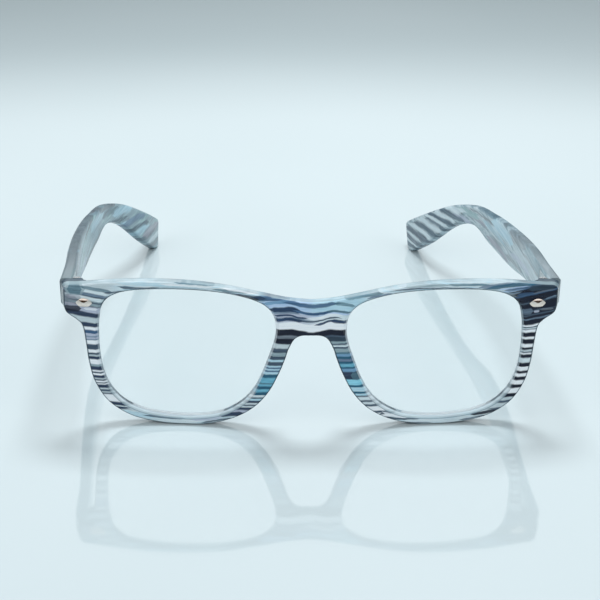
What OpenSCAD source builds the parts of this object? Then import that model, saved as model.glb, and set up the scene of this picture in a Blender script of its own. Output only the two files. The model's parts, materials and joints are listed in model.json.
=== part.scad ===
// Trapezoid eyeglasses: a laminated plastic front on two folding temples.
// Units are millimetres. X runs across the face, Y runs from the front to the ear tips, Z is up.
// The glasses stand open on the rims' lowest points and the two ear tips.

/* [Front] */
// Width of one lens opening
lens_w = 51.6; // [48:0.2:54]
// Height of one lens opening
lens_h = 41; // [38:0.2:43]
// Distance between the two lens openings at the nose
bridge_w = 20.4; // [18:0.2:23]
// Radius of the front's face curve, seen from above
face_r = 600; // [450:10:900]
// Thickness of the rims, front to back
rim_t = 3.3; // [2.8:0.1:4.5]
// Width of the rim below the lens
rim_w_bottom = 2.8; // [2.2:0.1:4]
// Width of the rim beside the nose
rim_w_nose = 4.7; // [3.5:0.1:5.2]
// Width of the rim at the outer side, under the end piece
rim_w_side = 4.1; // [3:0.1:5]
// Width of the brow bar above the lens
brow_w = 2.5; // [1.8:0.1:4]
// Height of the bridge above the nose arch
bridge_h = 10.6; // [8:0.2:13]
// Half width of the flat top of the nose arch
arch_w = 2.6; // [1.5:0.1:3.5]
// Rounding of the front's outer edges
edge_r = 0.7; // [0.3:0.05:1]
// Bevel round each lens opening, on the front face
bevel_w = 0.9; // [0.4:0.05:1.2]
// Depth to which the lowest points are worn flat where the glasses stand
rest_flat = 0.03; // [0.01:0.01:0.1]

/* [End pieces] */
// Width of the end piece beside the lens opening, measured on the front face
lug_w = 9.7; // [8.7:0.1:11]
// Height of the end piece's outer edge
lug_h = 8.4; // [7:0.1:10]
// Depth of the end piece's outer side, from the front face to the temple joint
lug_d = 5.05; // [4.5:0.05:6.5]
// Height of the end piece's top edge below the top of the brow
lug_drop = 2.2; // [0.8:0.1:3]
// How far the end piece's outer side flares out towards the temple
lug_flare = 1.2; // [0.4:0.1:2]

/* [Lenses] */
// Thickness of the lenses
lens_t = 1.6; // [1.2:0.1:2]
// Radius of the lenses' front curve
lens_r = 260; // [200:10:400]
// Depth of the lens groove into the rim
groove_d = 0.6; // [0.4:0.05:0.8]
// Width of the lens groove at its mouth
groove_w = 1.1; // [0.8:0.05:1.3]
// Gap between the lens edge and the rim
lens_gap = 0.06; // [0.03:0.01:0.1]

/* [Nose pads] */
// Length of a nose pad
pad_len = 13; // [10:0.5:16]
// Width of a nose pad
pad_w = 3.8; // [3:0.1:5]
// How far a nose pad stands behind the rim
pad_d = 3.6; // [2:0.1:5]

/* [Hinges] */
// Outer radius of the hinge knuckles
knuckle_r = 1.3; // [1.1:0.05:1.5]
// Height of one knuckle, five of them make the hinge
knuckle_h = 1.15; // [1:0.05:1.3]
// Gap between two knuckles
knuckle_gap = 0.06; // [0.03:0.01:0.1]
// Radius of the hinge screw
screw_r = 0.68; // [0.5:0.02:0.8]
// Running clearance round the hinge screw
screw_gap = 0.04; // [0.02:0.01:0.08]
// Radius of the hinge screw's head
head_r = 1.15; // [0.9:0.05:1.25]
// Height of the hinge screw's head
head_h = 0.6; // [0.4:0.05:0.8]
// Thickness of the hinge leaves
leaf_t = 0.85; // [0.6:0.05:1]
// Length of the leaf that is let into the temple
leaf_len = 9; // [7:0.5:11]
// Gap between the end piece and the temple
joint_gap = 0.15; // [0.1:0.01:0.3]
// Gap round leaves and pins that are let into the plastic
seat_gap = 0.04; // [0.02:0.01:0.08]

/* [Rivets] */
// Length of the almond shaped rivet head
shield_w = 4.8; // [4:0.1:6]
// Height of the almond shaped rivet head
shield_h = 2.65; // [2:0.05:3.5]
// How far the rivet head stands off the front
shield_t = 0.8; // [0.5:0.05:1]
// Radius of the rivet head's dome across its height
shield_r = 1.9; // [1.8:0.05:3]
// Distance of the rivet from the outer side of the lens opening
rivet_out = 3.7; // [3.6:0.1:4.2]
// Distance of the rivet below the middle of the end piece
rivet_drop = 0.9; // [0:0.1:1.5]
// Radius of the rivet pins
pin_r = 0.55; // [0.4:0.05:0.7]
// Distance between the two pins of a rivet head
pin_pitch = 2; // [1.6:0.1:2.6]
// Distance between the two pins that hold the temple leaf
leaf_pitch = 3.6; // [3:0.1:4.5]
// How far the temple leaf pins reach into the temple
leaf_pin_len = 1.5; // [1:0.1:1.8]

/* [Temples] */
// Thickness of the temples at the hinge
temple_t = 3.6; // [3.2:0.1:4.2]
// Height of the temple at the hinge
temple_h = 8.6; // [7.5:0.1:10]
// Greatest height of the temple's straight part
temple_h_mid = 12.5; // [10:0.1:13]
// Height of the temple at the bend
bend_h = 6.9; // [6.4:0.1:9]
// Height of the ear tip
tip_h = 12.4; // [9:0.1:13]
// Distance from the hinge joint to the bend
bend_len = 93; // [85:1:105]
// Length of the ear tip behind the bend, measured level
tip_len = 42; // [34:1:48]
// Fall of the temple's middle line from the hinge to the bend
bend_drop = 10.4; // [6:0.1:14]
// How far the temple bows outwards between the hinge and the bend
bow = 2.5; // [0:0.1:4]
// How far the temple leans in from the hinge to the bend
bend_in = 0.2; // [0:0.1:4]
// How far the ear tip leans in behind the bend
tip_in = 13.8; // [8:0.1:16]
// Rounding of the ear tip's upper corner
tip_round = 1.9; // [1:0.1:3]
// Rounding of the ear tip's lower corner
tip_round_low = 3.6; // [1.5:0.1:4.5]
// Angle by which the left temple stands turned in, as in the photographed pose
left_turn = 6.4; // [0:0.1:10]
// Rounding of the temple's edges
temple_r = 1.1; // [0.5:0.05:1.4]
// How far the temple stands outside the end piece
temple_proud = 0.4; // [0:0.1:0.8]
// Thickness of the wire core
core_t = 1; // [0.8:0.1:1.4]
// Height of the wire core
core_h = 2.2; // [1.4:0.1:3]
// Gap round the wire core
core_gap = 0.1; // [0.05:0.01:0.2]

/* [Hidden] */

plastic_colour = [0.55, 0.68, 0.76];
metal_colour = [0.75, 0.75, 0.74];
rivet_colour = [0.85, 0.66, 0.55];
lens_colour = [0.85, 0.93, 0.95, 0.35];
pad_colour = [0.8, 0.87, 0.9];

// Lens opening as shares of its half width and half height, from the nose down and round
lens_shape = [
  [-1.000, 0.400], [-0.973, 0.180], [-0.903, -0.088], [-0.818, -0.376],
  [-0.713, -0.615], [-0.562, -0.805], [-0.341, -0.946], [-0.040, -1.000],
  [0.271, -0.983], [0.535, -0.920], [0.748, -0.785], [0.895, -0.566],
  [0.969, -0.298], [0.998, -0.015], [1.000, 0.278], [0.984, 0.541],
  [0.926, 0.766], [0.783, 0.902], [0.543, 0.971], [0.155, 1.000],
  [-0.233, 0.985], [-0.562, 0.922], [-0.833, 0.805], [-0.969, 0.629]
];
shape_n = len(lens_shape);
steps = 4;
stations = shape_n * steps;
lens_x = bridge_w / 2 + lens_w / 2;
lens_z = rim_w_bottom + lens_h / 2;
lens_out = bridge_w / 2 + lens_w;
brow_z = rim_w_bottom + lens_h + brow_w;
half_w = lens_out + lug_w;

// How far a cut runs past the surface that it opens through
past = 1;

// Smooth curve through evenly spaced points
function curve_at(a, b, c, d, u) =
  b + (c - a) / 2 * u + (a - 2.5 * b + 2 * c - d / 2) * u * u
  + ((d - a) / 2 + (b - c) * 1.5) * u * u * u;

function wrap(list, i) = list[(i + len(list)) % len(list)];

// Point of the lens opening at a place counted in points of lens_shape
function opening_share(p) =
  let (i = floor(p), u = p - i)
  curve_at(
    wrap(lens_shape, i - 1), wrap(lens_shape, i), wrap(lens_shape, i + 1),
    wrap(lens_shape, i + 2), u
  );
function opening_at(p) =
  let (s = opening_share(p))
  [lens_x + s[0] * lens_w / 2, lens_z + s[1] * lens_h / 2];

function unit(v) = v / norm(v);

// Direction out of the lens opening into the rim
function opening_normal(p) =
  let (d = unit(opening_at(p + 0.05) - opening_at(p - 0.05)))
  [d[1], -d[0]];

// Smooth curve through keys [place, values ...] that need not be evenly spaced
function key_slope(keys, i) =
  i == 0 ? (keys[1] - keys[0]) / (keys[1][0] - keys[0][0])
  : i == len(keys) - 1 ? (keys[i] - keys[i - 1]) / (keys[i][0] - keys[i - 1][0])
  : let (
      da = keys[i][0] - keys[i - 1][0], db = keys[i + 1][0] - keys[i][0],
      sa = (keys[i] - keys[i - 1]) / da, sb = (keys[i + 1] - keys[i]) / db
    )
    (sa * db + sb * da) / (da + db);
function key_span(keys, t, i = 0) =
  i >= len(keys) - 2 || t < keys[i + 1][0] ? i : key_span(keys, t, i + 1);
function key_at(keys, t) =
  let (
    i = key_span(keys, t), h = keys[i + 1][0] - keys[i][0], u = (t - keys[i][0]) / h,
    a = keys[i], b = keys[i + 1], ma = key_slope(keys, i) * h, mb = key_slope(keys, i + 1) * h
  )
  a * (2 * pow(u, 3) - 3 * u * u + 1) + ma * (pow(u, 3) - 2 * u * u + u)
  + b * (3 * u * u - 2 * pow(u, 3)) + mb * (pow(u, 3) - u * u);

// Width of the rim round the lower part of the lens, by place on the opening
rim_keys = [
  [1, rim_w_nose], [2.5, rim_w_nose * 0.96], [4, rim_w_nose * 0.83], [5.5, rim_w_bottom * 1.07],
  [7, rim_w_bottom], [9, rim_w_bottom * 1.07], [11, rim_w_bottom * 1.29],
  [12.5, rim_w_bottom * 1.32], [14.25, rim_w_side]
];
function rim_point(p) = opening_at(p) + opening_normal(p) * key_at(rim_keys, p)[1];

arch_z = lens_z + lens_h * 0.16;
bridge_z = arch_z + bridge_h;
lug_top = brow_z - lug_drop;
lug_low = lug_top - lug_h;

// Outer edge of one half of the front, from the nose arch down and round to the bridge
seam_place = 23.25;
outer_keys = [
  [0, 0, arch_z],
  [0.25, arch_w, arch_z - bridge_h * 0.005],
  [0.5, arch_w * 1.65, arch_z - bridge_h * 0.07],
  for (p = [1, 1.5, 2.5, 3.5, 4.5, 5.5, 6.5, 7.5, 8.5, 9.5, 10.5, 11.5, 12.5, 13.5])
    [p, rim_point(p)[0], rim_point(p)[1]],
  [14.25, rim_point(14.25)[0] + lug_w * 0.06, lug_low - lug_h * 0.54],
  [15, half_w - lug_w * 0.34, lug_low - lug_h * 0.27],
  [15.5, half_w - lug_w * 0.05, lug_low - lug_h * 0.01],
  [15.75, half_w, lug_low + lug_h * 0.15],
  [16.25, half_w, lug_top - lug_h * 0.31],
  [16.5, half_w - lug_w * 0.01, lug_top - lug_h * 0.12],
  [16.75, half_w - lug_w * 0.1, lug_top - lug_h * 0.01],
  [17.25, half_w - lug_w * 0.41, lug_top + lug_h * 0.04],
  [18.25, lens_x + lens_w * 0.35, brow_z - brow_w * 0.14],
  [19.25, lens_x + lens_w * 0.13, brow_z],
  [20.25, lens_x - lens_w * 0.07, brow_z - brow_w * 0.18],
  [21.25, lens_x - lens_w * 0.26, brow_z - brow_w * 0.72],
  [22, lens_x - lens_w * 0.42, brow_z - brow_w * 1.44],
  [22.75, bridge_w * 0.3, bridge_z + bridge_h * 0.057],
  [seam_place, 0, bridge_z]
];
function on_seam(p) = p > seam_place;
function outer_at(p) =
  on_seam(p) ?
    [0, bridge_z + (arch_z - bridge_z) * (p - seam_place) / (shape_n - seam_place)]
  : p == seam_place ? [0, bridge_z]
  : p == 0 ? [0, arch_z]
  : let (k = key_at(outer_keys, p)) [k[1], on_table(k[2])];
function on_table(z) = max(z, rest_flat) - rest_flat;

// Direction from the outer edge into the plastic
function outer_inward(p) =
  on_seam(p) ? [0, 0]
  : p == 0 ? [0, 1]
  : p == seam_place ? [0, -1]
  : let (d = unit(outer_at(min(p + 0.05, seam_place)) - outer_at(max(p - 0.05, 0))))
    [-d[1], d[0]];

// Depth of the front face and of the back face at a place of the front
function ease(u) = let (c = max(0, min(1, u))) c * c * (3 - 2 * c);
function face_y(x) = x * x / (2 * face_r);
joint_y = face_y(half_w) + lug_d;
lug_mid = (lug_top + lug_low) / 2;

// Share of the end piece's extra depth at a point: it starts beside the lens, and on the top
// edge further out
lug_slope = lug_w * 0.113;
lug_back = lens_out + lug_w * 0.062;
top_place = 17;
top_shift = lug_w * 0.37;
function lug_start(p) = lug_back + top_shift * ease((p - top_place) / 0.5);
function lug_share(q, p) =
  ease((q[0] - lug_start(p)) / lug_slope) * ease((q[1] - lug_low) / lug_h / 0.48 + 1.12);

// Where the back face has its points, as shares of the way from the lens to the outer edge:
// beside an end piece they are the foot and the head of its step
function back_shares(from_x, to_x, p) =
  let (foot = lug_start(p), head = foot + lug_slope, w = to_x - from_x)
  p < 13 || foot < from_x || head + lug_slope > to_x ? [0.72, 0.45, 0.2]
  : [(1 + (head - from_x) / w) / 2, (head - from_x) / w, (foot - from_x) / w];
function back_y(q, p) =
  let (share = lug_share(q, p))
  (face_y(q[0]) + rim_t) * (1 - share) + joint_y * share;
flare_w = lug_w * 0.36;
function back_x(q, p) = q[0] + lug_flare * lug_share(q, p) * ease((q[0] - half_w) / flare_w + 1);

groove_y = rim_t * 0.53;
groove_in = 0.35;
round_in = 0.29;
back_soft = edge_r * 0.36;

// Cross section of the front at one place, from the lens opening out and back
function at_face(q, d) = [q[0], face_y(q[0]) + d, q[1]];
function at_back(q, d, p) = [back_x(q, p), back_y(q, p) - d, q[1]];
function section(p) =
  let (
    a = opening_at(p), n = opening_normal(p), b = outer_at(p), m = outer_inward(p),
    face_a = a + n * bevel_w, face_b = b + m * edge_r, soft_b = b + m * edge_r * round_in,
    back_a = a + n * back_soft, groove_a = a + n * groove_d
  )
  [
    at_face(face_a, 0),
    at_face(face_a * 2 / 3 + face_b / 3, 0),
    at_face(face_a / 3 + face_b * 2 / 3, 0),
    at_face(face_b, 0),
    at_face(soft_b, edge_r * round_in),
    at_face(b, edge_r),
    at_back(b, edge_r, p),
    at_back(soft_b, edge_r * round_in, p),
    at_back(face_b, 0, p),
    for (share = back_shares(back_a[0], face_b[0], p))
      at_back(back_a * (1 - share) + face_b * share, 0, p),
    at_back(back_a, 0, p),
    at_back(a, back_soft, p),
    at_face(a, groove_y + groove_w / 2),
    at_face(groove_a, groove_y + groove_w * groove_in),
    at_face(groove_a, groove_y - groove_w * groove_in),
    at_face(a, groove_y - groove_w / 2),
    at_face(a, bevel_w)
  ];
section_n = 19;
seam_first = 3;
seam_last = 8;

// Hinge of the +X side: the axis stands upright behind the end piece, inside the temple
side_gap = 0.1;
temple_side = half_w + lug_flare + temple_proud;
temple_inner = temple_side - temple_t;
hinge_x = temple_inner - side_gap - knuckle_r;
hinge_y = joint_y + joint_gap + knuckle_r;
knuckle_pitch = knuckle_h + knuckle_gap;
stack_h = 5 * knuckle_h + 4 * knuckle_gap;
stack_low = lug_mid - stack_h / 2;
rivet_x = lens_out + rivet_out;
rivet_z = lug_mid - rivet_drop;
leaf_edge = 0.5;
leaf_left = rivet_x - pin_pitch / 2 - pin_r - leaf_edge;
leaf_right = max(rivet_x + pin_pitch / 2 + pin_r + leaf_edge, hinge_x + leaf_edge);
leaf_first_pin = 4;
leaf_setback = 0.2;
leaf_start = joint_gap + leaf_setback;

// Sections of the temple of the +X side, from the hinge to the ear tip:
// [distance behind the joint, height of the middle, lean, height, outer side]
temple_start = joint_y + joint_gap;
temple_mid = lug_top - temple_h / 2;
bend_mid = temple_mid - bend_drop;
bend_side = temple_side - bend_in;
temple_len = bend_len + tip_len;
bend_lean = 24;
tip_lean = 37;
end_lean = 32;
tip_mid = tip_h / 2 * cos(end_lean);
function tip_key(share, drop, inward, lean, h) = [
  bend_len + tip_len * share, bend_mid + (tip_mid - bend_mid) * drop, lean, h,
  bend_side - tip_in * inward
];
temple_keys = [
  [0, temple_mid, 0, temple_h, temple_side],
  [bend_len * 0.11, temple_mid - bend_drop * 0.08, 1, temple_h * 1.2, temple_side],
  [bend_len * 0.28, temple_mid - bend_drop * 0.23, 4, temple_h_mid * 0.89, temple_side + bow * 0.48],
  [bend_len * 0.54, temple_mid - bend_drop * 0.63, 8, temple_h_mid, temple_side + bow],
  [bend_len * 0.81, temple_mid - bend_drop * 0.9, 14, temple_h_mid * 0.84, temple_side + bow * 0.83],
  [bend_len, bend_mid, bend_lean, bend_h, bend_side],
  tip_key(0.3, 0.2, 0.28, tip_lean, bend_h * 1.13),
  tip_key(0.65, 0.63, 0.73, (tip_lean + end_lean) / 2 + 1, tip_h * 0.93),
  tip_key(1, 1, 1, end_lean, tip_h)
];

// Places of the temple's sections, closer together where the ear tip's end is rounded
first_len = bend_len * 0.85;
first_n = 13;
second_n = 15;
second_len = temple_len - tip_round_low - first_len;
temple_places = [
  for (i = [0:first_n]) first_len * i / first_n,
  for (i = [1:second_n]) first_len + second_len * i / second_n,
  for (share = [0.7, 0.45, 0.25, 0.1, 0.02, 0]) temple_len - tip_round_low * share
];

// How far a corner of radius r draws the section in at a place near the end
function drawn_in(place, r) =
  let (d = max(0, place - temple_len + r))
  r - sqrt(max(0, r * r - d * d));

// Point of a section: x across from the temple's middle, w along the section
function temple_point(place, x, w) =
  let (k = key_at(temple_keys, place))
  [k[4] - temple_t / 2 + x, temple_start + place + w * sin(k[2]), k[1] + w * cos(k[2])];
function rounded_section(place, t, low, high, r) = [
  for (turn = [0:3])
    for (angle = [0, 45, 90])
      let (
        side_x = (turn == 0 || turn == 3 ? 1 : -1) * (t / 2 - r),
        side_w = turn < 2 ? high - r : low + r, a = angle + turn * 90
      )
      temple_point(place, side_x + r * cos(a), side_w + r * sin(a))
];
function temple_section(place) =
  let (half_h = key_at(temple_keys, place)[3] / 2, thin = drawn_in(place, tip_round))
  rounded_section(
    place, temple_t - thin * 0.6,
    drawn_in(place, tip_round_low) - half_h, half_h - drawn_in(place, tip_round),
    temple_r - thin * 0.25
  );
temple_loft = [for (place = temple_places) each temple_section(place)];

// The whole temple is sheared a little, so that its lowest point stands on the table
temple_low = min([for (q = temple_loft) q[2]]);
low_y = [for (q = temple_loft) if (q[2] == temple_low) q[1]][0];
temple_reach = max([for (q = temple_loft) q[1]]);
function sheared(q) =
  [q[0], q[1], q[2] - temple_low * (q[1] - temple_start) / (low_y - temple_start)];

// Plastic left in front of the wire core and behind it
core_cover = 2;
core_end_cover = 3;
core_first = leaf_len + core_cover;
core_last = temple_len - tip_round_low - core_end_cover;
core_n = 24;
function core_section(place, t, h) =
  [for (c = [[1, 1], [-1, 1], [-1, -1], [1, -1]]) temple_point(place, c[0] * t / 2, c[1] * h / 2)];

// The middle of the whole stands over the origin
turned_out = max(
  half_w + lug_flare,
  max([
    for (q = temple_loft)
      hinge_x + (q[0] - hinge_x) * cos(left_turn) - (q[1] - hinge_y) * sin(left_turn)
  ])
);
wide_out = max([for (q = temple_loft) q[0]]);
turned_reach = max([
  for (q = temple_loft)
    hinge_y + (q[1] - hinge_y) * cos(left_turn) + (q[0] - hinge_x) * sin(left_turn)
]);
side_shift = (wide_out - turned_out) / 2;
depth_shift = -max(temple_reach, turned_reach) / 2;

module placed() {
  translate([side_shift, depth_shift, 0]) children();
}

// The wearer's right side is the mirror image of the left side
module right_side() {
  mirror([1, 0, 0]) children();
}

// The left temple stands turned in about its hinge
module turned_in() {
  translate([hinge_x, hinge_y, 0]) rotate([0, 0, left_turn]) translate([-hinge_x, -hinge_y, 0])
    children();
}

module on_both_sides() {
  children();
  mirror([1, 0, 0]) children();
}

// Closed skin over rings of the same number of points, first ring to last
module loft(points, ring) {
  rings = len(points) / ring;
  quads = [
    for (k = [0:rings - 2])
      for (j = [0:ring - 1])
        let (a = k * ring + j, b = k * ring + (j + 1) % ring)
        [a, b, b + ring, a + ring]
  ];
  skin = [for (q = quads) each [[q[0], q[1], q[2]], [q[0], q[2], q[3]]]];
  first = [for (j = [ring - 1:-1:0]) j];
  last = [for (j = [0:ring - 1]) (rings - 1) * ring + j];
  polyhedron(points, concat(skin, [first, last]), convexity = 6);
}

// One half of the front is a closed ring of sections, and the other half is its mirror image.
// The points on the middle plane belong to both halves.
module front_shell() {
  half = [for (k = [0:stations - 1]) each section(k / steps)];
  count = len(half);
  points = concat(half, [for (q = half) [-q[0], q[1], q[2]]]);
  quads = [
    for (k = [0:stations - 1])
      for (j = [0:section_n - 1])
        let (
          seam = k / steps >= seam_place && j >= seam_first && j < seam_last,
          k2 = (k + 1) % stations, j2 = (j + 1) % section_n
        )
        if (!seam)
          [k * section_n + j, k2 * section_n + j, k2 * section_n + j2, k * section_n + j2]
  ];
  function other(i) = half[i][0] == 0 ? i : i + count;
  right = [for (q = quads) each [[q[0], q[1], q[2]], [q[0], q[2], q[3]]]];
  left = [for (t = right) [other(t[2]), other(t[1]), other(t[0])]];
  polyhedron(points, concat(right, left), convexity = 8);
}

// Rods and holes along Y for the two pins of a rivet
module rivet_pins(r, from_y, to_y) {
  for (side = [-1, 1])
    translate([rivet_x + side * pin_pitch / 2, from_y, rivet_z]) rotate([-90, 0, 0])
      cylinder(r = r, h = to_y - from_y, $fn = 32);
}

// Plate of the front leaf, or with a gap and an open back the pocket that it lies in
module front_leaf_plate(gap, open) {
  translate([leaf_left - gap, joint_y - leaf_t - gap, stack_low - gap])
    cube([leaf_right - leaf_left + 2 * gap, leaf_t + gap + open, stack_h + 2 * gap]);
}

module front() {
  color(plastic_colour) placed() difference() {
    front_shell();
    on_both_sides() front_leaf_plate(seat_gap, past);
    on_both_sides() rivet_pins(pin_r + seat_gap, 0, joint_y + past);
  }
}

// Almond shaped head, cut from two cylinders, with a face domed along and across
almond_r = (pow(shield_w / 2, 2) + pow(shield_h / 2, 2)) / shield_h;
dome_rise = shield_t * 0.6;
dome_r = (pow(shield_w / 2, 2) + pow(dome_rise, 2)) / (2 * dome_rise);
pin_root = 0.2;
module rivet_head() {
  intersection() {
    intersection_for(side = [-1, 1])
      translate([0, 0, side * (almond_r - shield_h / 2)]) rotate([90, 0, 0])
        cylinder(r = almond_r, h = shield_t + past, $fn = 96);
    translate([0, dome_r - shield_t, 0]) sphere(r = dome_r, $fn = 96);
    translate([-shield_w, shield_r - shield_t, 0]) rotate([0, 90, 0])
      cylinder(r = shield_r, h = 2 * shield_w, $fn = 96);
  }
}

module rivet() {
  color(rivet_colour) {
    translate([rivet_x, face_y(rivet_x), rivet_z]) rotate([0, 0, atan(rivet_x / face_r)])
      rivet_head();
    rivet_pins(pin_r, face_y(rivet_x) - pin_root, joint_y);
  }
}

module opening_prism(grow) {
  translate([0, joint_y, 0]) rotate([90, 0, 0]) linear_extrude(height = joint_y + past)
    polygon([for (k = [0:stations - 1]) opening_at(k / steps) + opening_normal(k / steps) * grow]);
}

// Lens: a spherical shell inside the opening, with a thin tongue that sits in the groove
tongue_gap = 0.1;
tongue_t = 0.7;
tongue_root = 0.5;
lens_apex = 0.15;
module lens() {
  tilt = lens_x / face_r;
  apex = [lens_x, face_y(lens_x) + lens_apex, lens_z];
  centre = apex + lens_r * [-sin(atan(tilt)), cos(atan(tilt)), 0];
  color(lens_colour) {
    intersection() {
      opening_prism(-lens_gap);
      difference() {
        translate(centre) sphere(r = lens_r, $fn = 200);
        translate(centre) sphere(r = lens_r - lens_t, $fn = 200);
      }
    }
    intersection() {
      difference() {
        opening_prism(groove_d - tongue_gap);
        opening_prism(-lens_gap - tongue_root);
      }
      difference() {
        translate([0, face_r + groove_y - tongue_t / 2, 0])
          cylinder(r = face_r, h = brow_z, $fn = 400);
        translate([0, face_r + groove_y + tongue_t / 2, -past])
          cylinder(r = face_r, h = brow_z + 2 * past, $fn = 400);
      }
    }
  }
}

// Nose pad: a drop bonded to the back of the rim beside the nose
pad_place = 2.1;
module nose_pad() {
  a = opening_at(pad_place);
  b = outer_at(pad_place);
  mid = (a + b) / 2;
  along = unit(opening_at(pad_place - 1) - opening_at(pad_place + 1));
  top_r = pad_w * 0.36;
  low_r = pad_w / 2;
  color(pad_colour)
    translate([mid[0], face_y(mid[0]) + rim_t + seat_gap, mid[1]])
    rotate([0, -atan2(-along[0], along[1]), atan(mid[0] / face_r)])
    intersection() {
      hull() {
        translate([0, 0, pad_len / 2 - top_r]) sphere(r = top_r, $fn = 24);
        translate([0, 0, low_r - pad_len / 2]) sphere(r = low_r, $fn = 24);
        translate([-pad_w * 0.13, pad_d - top_r, -pad_len * 0.08]) sphere(r = top_r, $fn = 24);
      }
      translate([-pad_w, 0, -pad_len]) cube([2 * pad_w, 2 * pad_d, 2 * pad_len]);
    }
}

// Knuckles of one hinge leaf, each with an arm that reaches to its plate
module knuckles(list, arm_from, arm_to) {
  for (i = list)
    translate([0, 0, stack_low + i * knuckle_pitch]) {
      translate([hinge_x, hinge_y, 0]) cylinder(r = knuckle_r, h = knuckle_h, $fn = 48);
      translate([arm_from[0], arm_from[1], 0])
        cube([arm_to[0] - arm_from[0], arm_to[1] - arm_from[1], knuckle_h]);
    }
}

module screw_bore() {
  translate([hinge_x, hinge_y, stack_low - past])
    cylinder(r = screw_r + screw_gap, h = stack_h + 2 * past, $fn = 48);
}

arm_root = 0.4;
module front_hinge_leaf() {
  color(metal_colour) difference() {
    union() {
      front_leaf_plate(0, 0);
      knuckles([0, 2, 4], [hinge_x - knuckle_r, joint_y - arm_root], [hinge_x, hinge_y]);
    }
    screw_bore();
    rivet_pins(pin_r + seat_gap, 0, joint_y + past);
  }
}

module leaf_pins(r, from_x, to_x) {
  for (i = [0, 1])
    translate([from_x, joint_y + leaf_first_pin + i * leaf_pitch, lug_mid]) rotate([0, 90, 0])
      cylinder(r = r, h = to_x - from_x, $fn = 32);
}

// Plate of the temple leaf, or with a gap and an open side the pocket that it lies in
module temple_leaf_plate(gap, open) {
  translate([temple_inner - open, joint_y + leaf_start - gap, stack_low - gap])
    cube([leaf_t + gap + open, leaf_len + 2 * gap, stack_h + 2 * gap]);
}

module temple_hinge_leaf() {
  color(metal_colour) difference() {
    union() {
      temple_leaf_plate(0, 0);
      knuckles([1, 3], [hinge_x, hinge_y], [temple_inner + leaf_t, hinge_y + knuckle_r]);
    }
    screw_bore();
    leaf_pins(pin_r + seat_gap, temple_inner - past, temple_inner + leaf_t + past);
  }
}

module temple_leaf_pins() {
  color(metal_colour) leaf_pins(pin_r, temple_inner, temple_inner + leaf_t + leaf_pin_len);
}

slot_w = 0.3;
module hinge_screw() {
  color(metal_colour) translate([hinge_x, hinge_y, stack_low]) difference() {
    union() {
      cylinder(r = screw_r, h = stack_h + head_h, $fn = 48);
      translate([0, 0, stack_h]) cylinder(r = head_r, h = head_h, $fn = 48);
    }
    translate([-head_r, -slot_w / 2, stack_h + head_h / 2]) cube([2 * head_r, slot_w, head_h]);
  }
}

module core_loft(gap) {
  from = core_first - gap;
  span = core_last - core_first + 2 * gap;
  loft(
    [
      for (i = [0:core_n])
        for (q = core_section(from + span * i / core_n, core_t + 2 * gap, core_h + 2 * gap))
          sheared(q)
    ],
    4
  );
}

module temple() {
  color(plastic_colour) difference() {
    loft([for (q = temple_loft) let (s = sheared(q)) [s[0], s[1], on_table(s[2])]], 12);
    temple_leaf_plate(seat_gap, past);
    leaf_pins(
      pin_r + seat_gap, temple_inner - past, temple_inner + leaf_t + leaf_pin_len + seat_gap
    );
    core_loft(core_gap);
  }
}

module temple_core() {
  color(metal_colour) core_loft(0);
}

front();
placed() right_side() lens();  // lens_right
placed() lens();  // lens_left
placed() right_side() nose_pad();  // nose_pad_right
placed() nose_pad();  // nose_pad_left
placed() right_side() rivet();  // rivet_right
placed() rivet();  // rivet_left
placed() right_side() front_hinge_leaf();  // front_hinge_leaf_right
placed() front_hinge_leaf();  // front_hinge_leaf_left
placed() right_side() hinge_screw();  // hinge_screw_right
placed() hinge_screw();  // hinge_screw_left
placed() right_side() temple();  // temple_right
placed() turned_in() temple();  // temple_left
placed() right_side() temple_core();  // temple_core_right
placed() turned_in() temple_core();  // temple_core_left
placed() right_side() temple_hinge_leaf();  // temple_hinge_leaf_right
placed() turned_in() temple_hinge_leaf();  // temple_hinge_leaf_left
placed() right_side() temple_leaf_pins();  // temple_leaf_pins_right
placed() turned_in() temple_leaf_pins();  // temple_leaf_pins_left
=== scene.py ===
import itertools
import json
import math

import bmesh
import bpy
from mathutils import Matrix, Vector

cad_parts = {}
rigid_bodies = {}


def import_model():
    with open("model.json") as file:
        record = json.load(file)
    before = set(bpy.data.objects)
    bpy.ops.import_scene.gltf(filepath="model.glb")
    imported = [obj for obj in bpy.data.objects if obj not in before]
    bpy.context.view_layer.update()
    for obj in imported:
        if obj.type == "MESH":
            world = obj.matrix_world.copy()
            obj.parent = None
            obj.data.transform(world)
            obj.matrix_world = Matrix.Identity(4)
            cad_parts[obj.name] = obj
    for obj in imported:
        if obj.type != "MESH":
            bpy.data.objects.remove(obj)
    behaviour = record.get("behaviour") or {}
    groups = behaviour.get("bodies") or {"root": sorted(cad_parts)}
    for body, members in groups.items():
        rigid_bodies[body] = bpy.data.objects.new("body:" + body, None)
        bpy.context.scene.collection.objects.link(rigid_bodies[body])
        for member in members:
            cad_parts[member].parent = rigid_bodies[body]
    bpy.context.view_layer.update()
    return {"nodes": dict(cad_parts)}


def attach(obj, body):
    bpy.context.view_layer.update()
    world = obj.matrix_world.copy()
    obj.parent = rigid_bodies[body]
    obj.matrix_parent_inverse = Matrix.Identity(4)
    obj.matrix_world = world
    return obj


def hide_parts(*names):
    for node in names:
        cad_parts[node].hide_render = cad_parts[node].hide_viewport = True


# Trapezoid eyeglasses of striped laminated plastic, open on a pale floor.
# Shape values are in millimetres, as in the part's source; every object is made in metres.

MM = 0.001

for old in list(bpy.data.objects):
    bpy.data.objects.remove(old)

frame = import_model()

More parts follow.
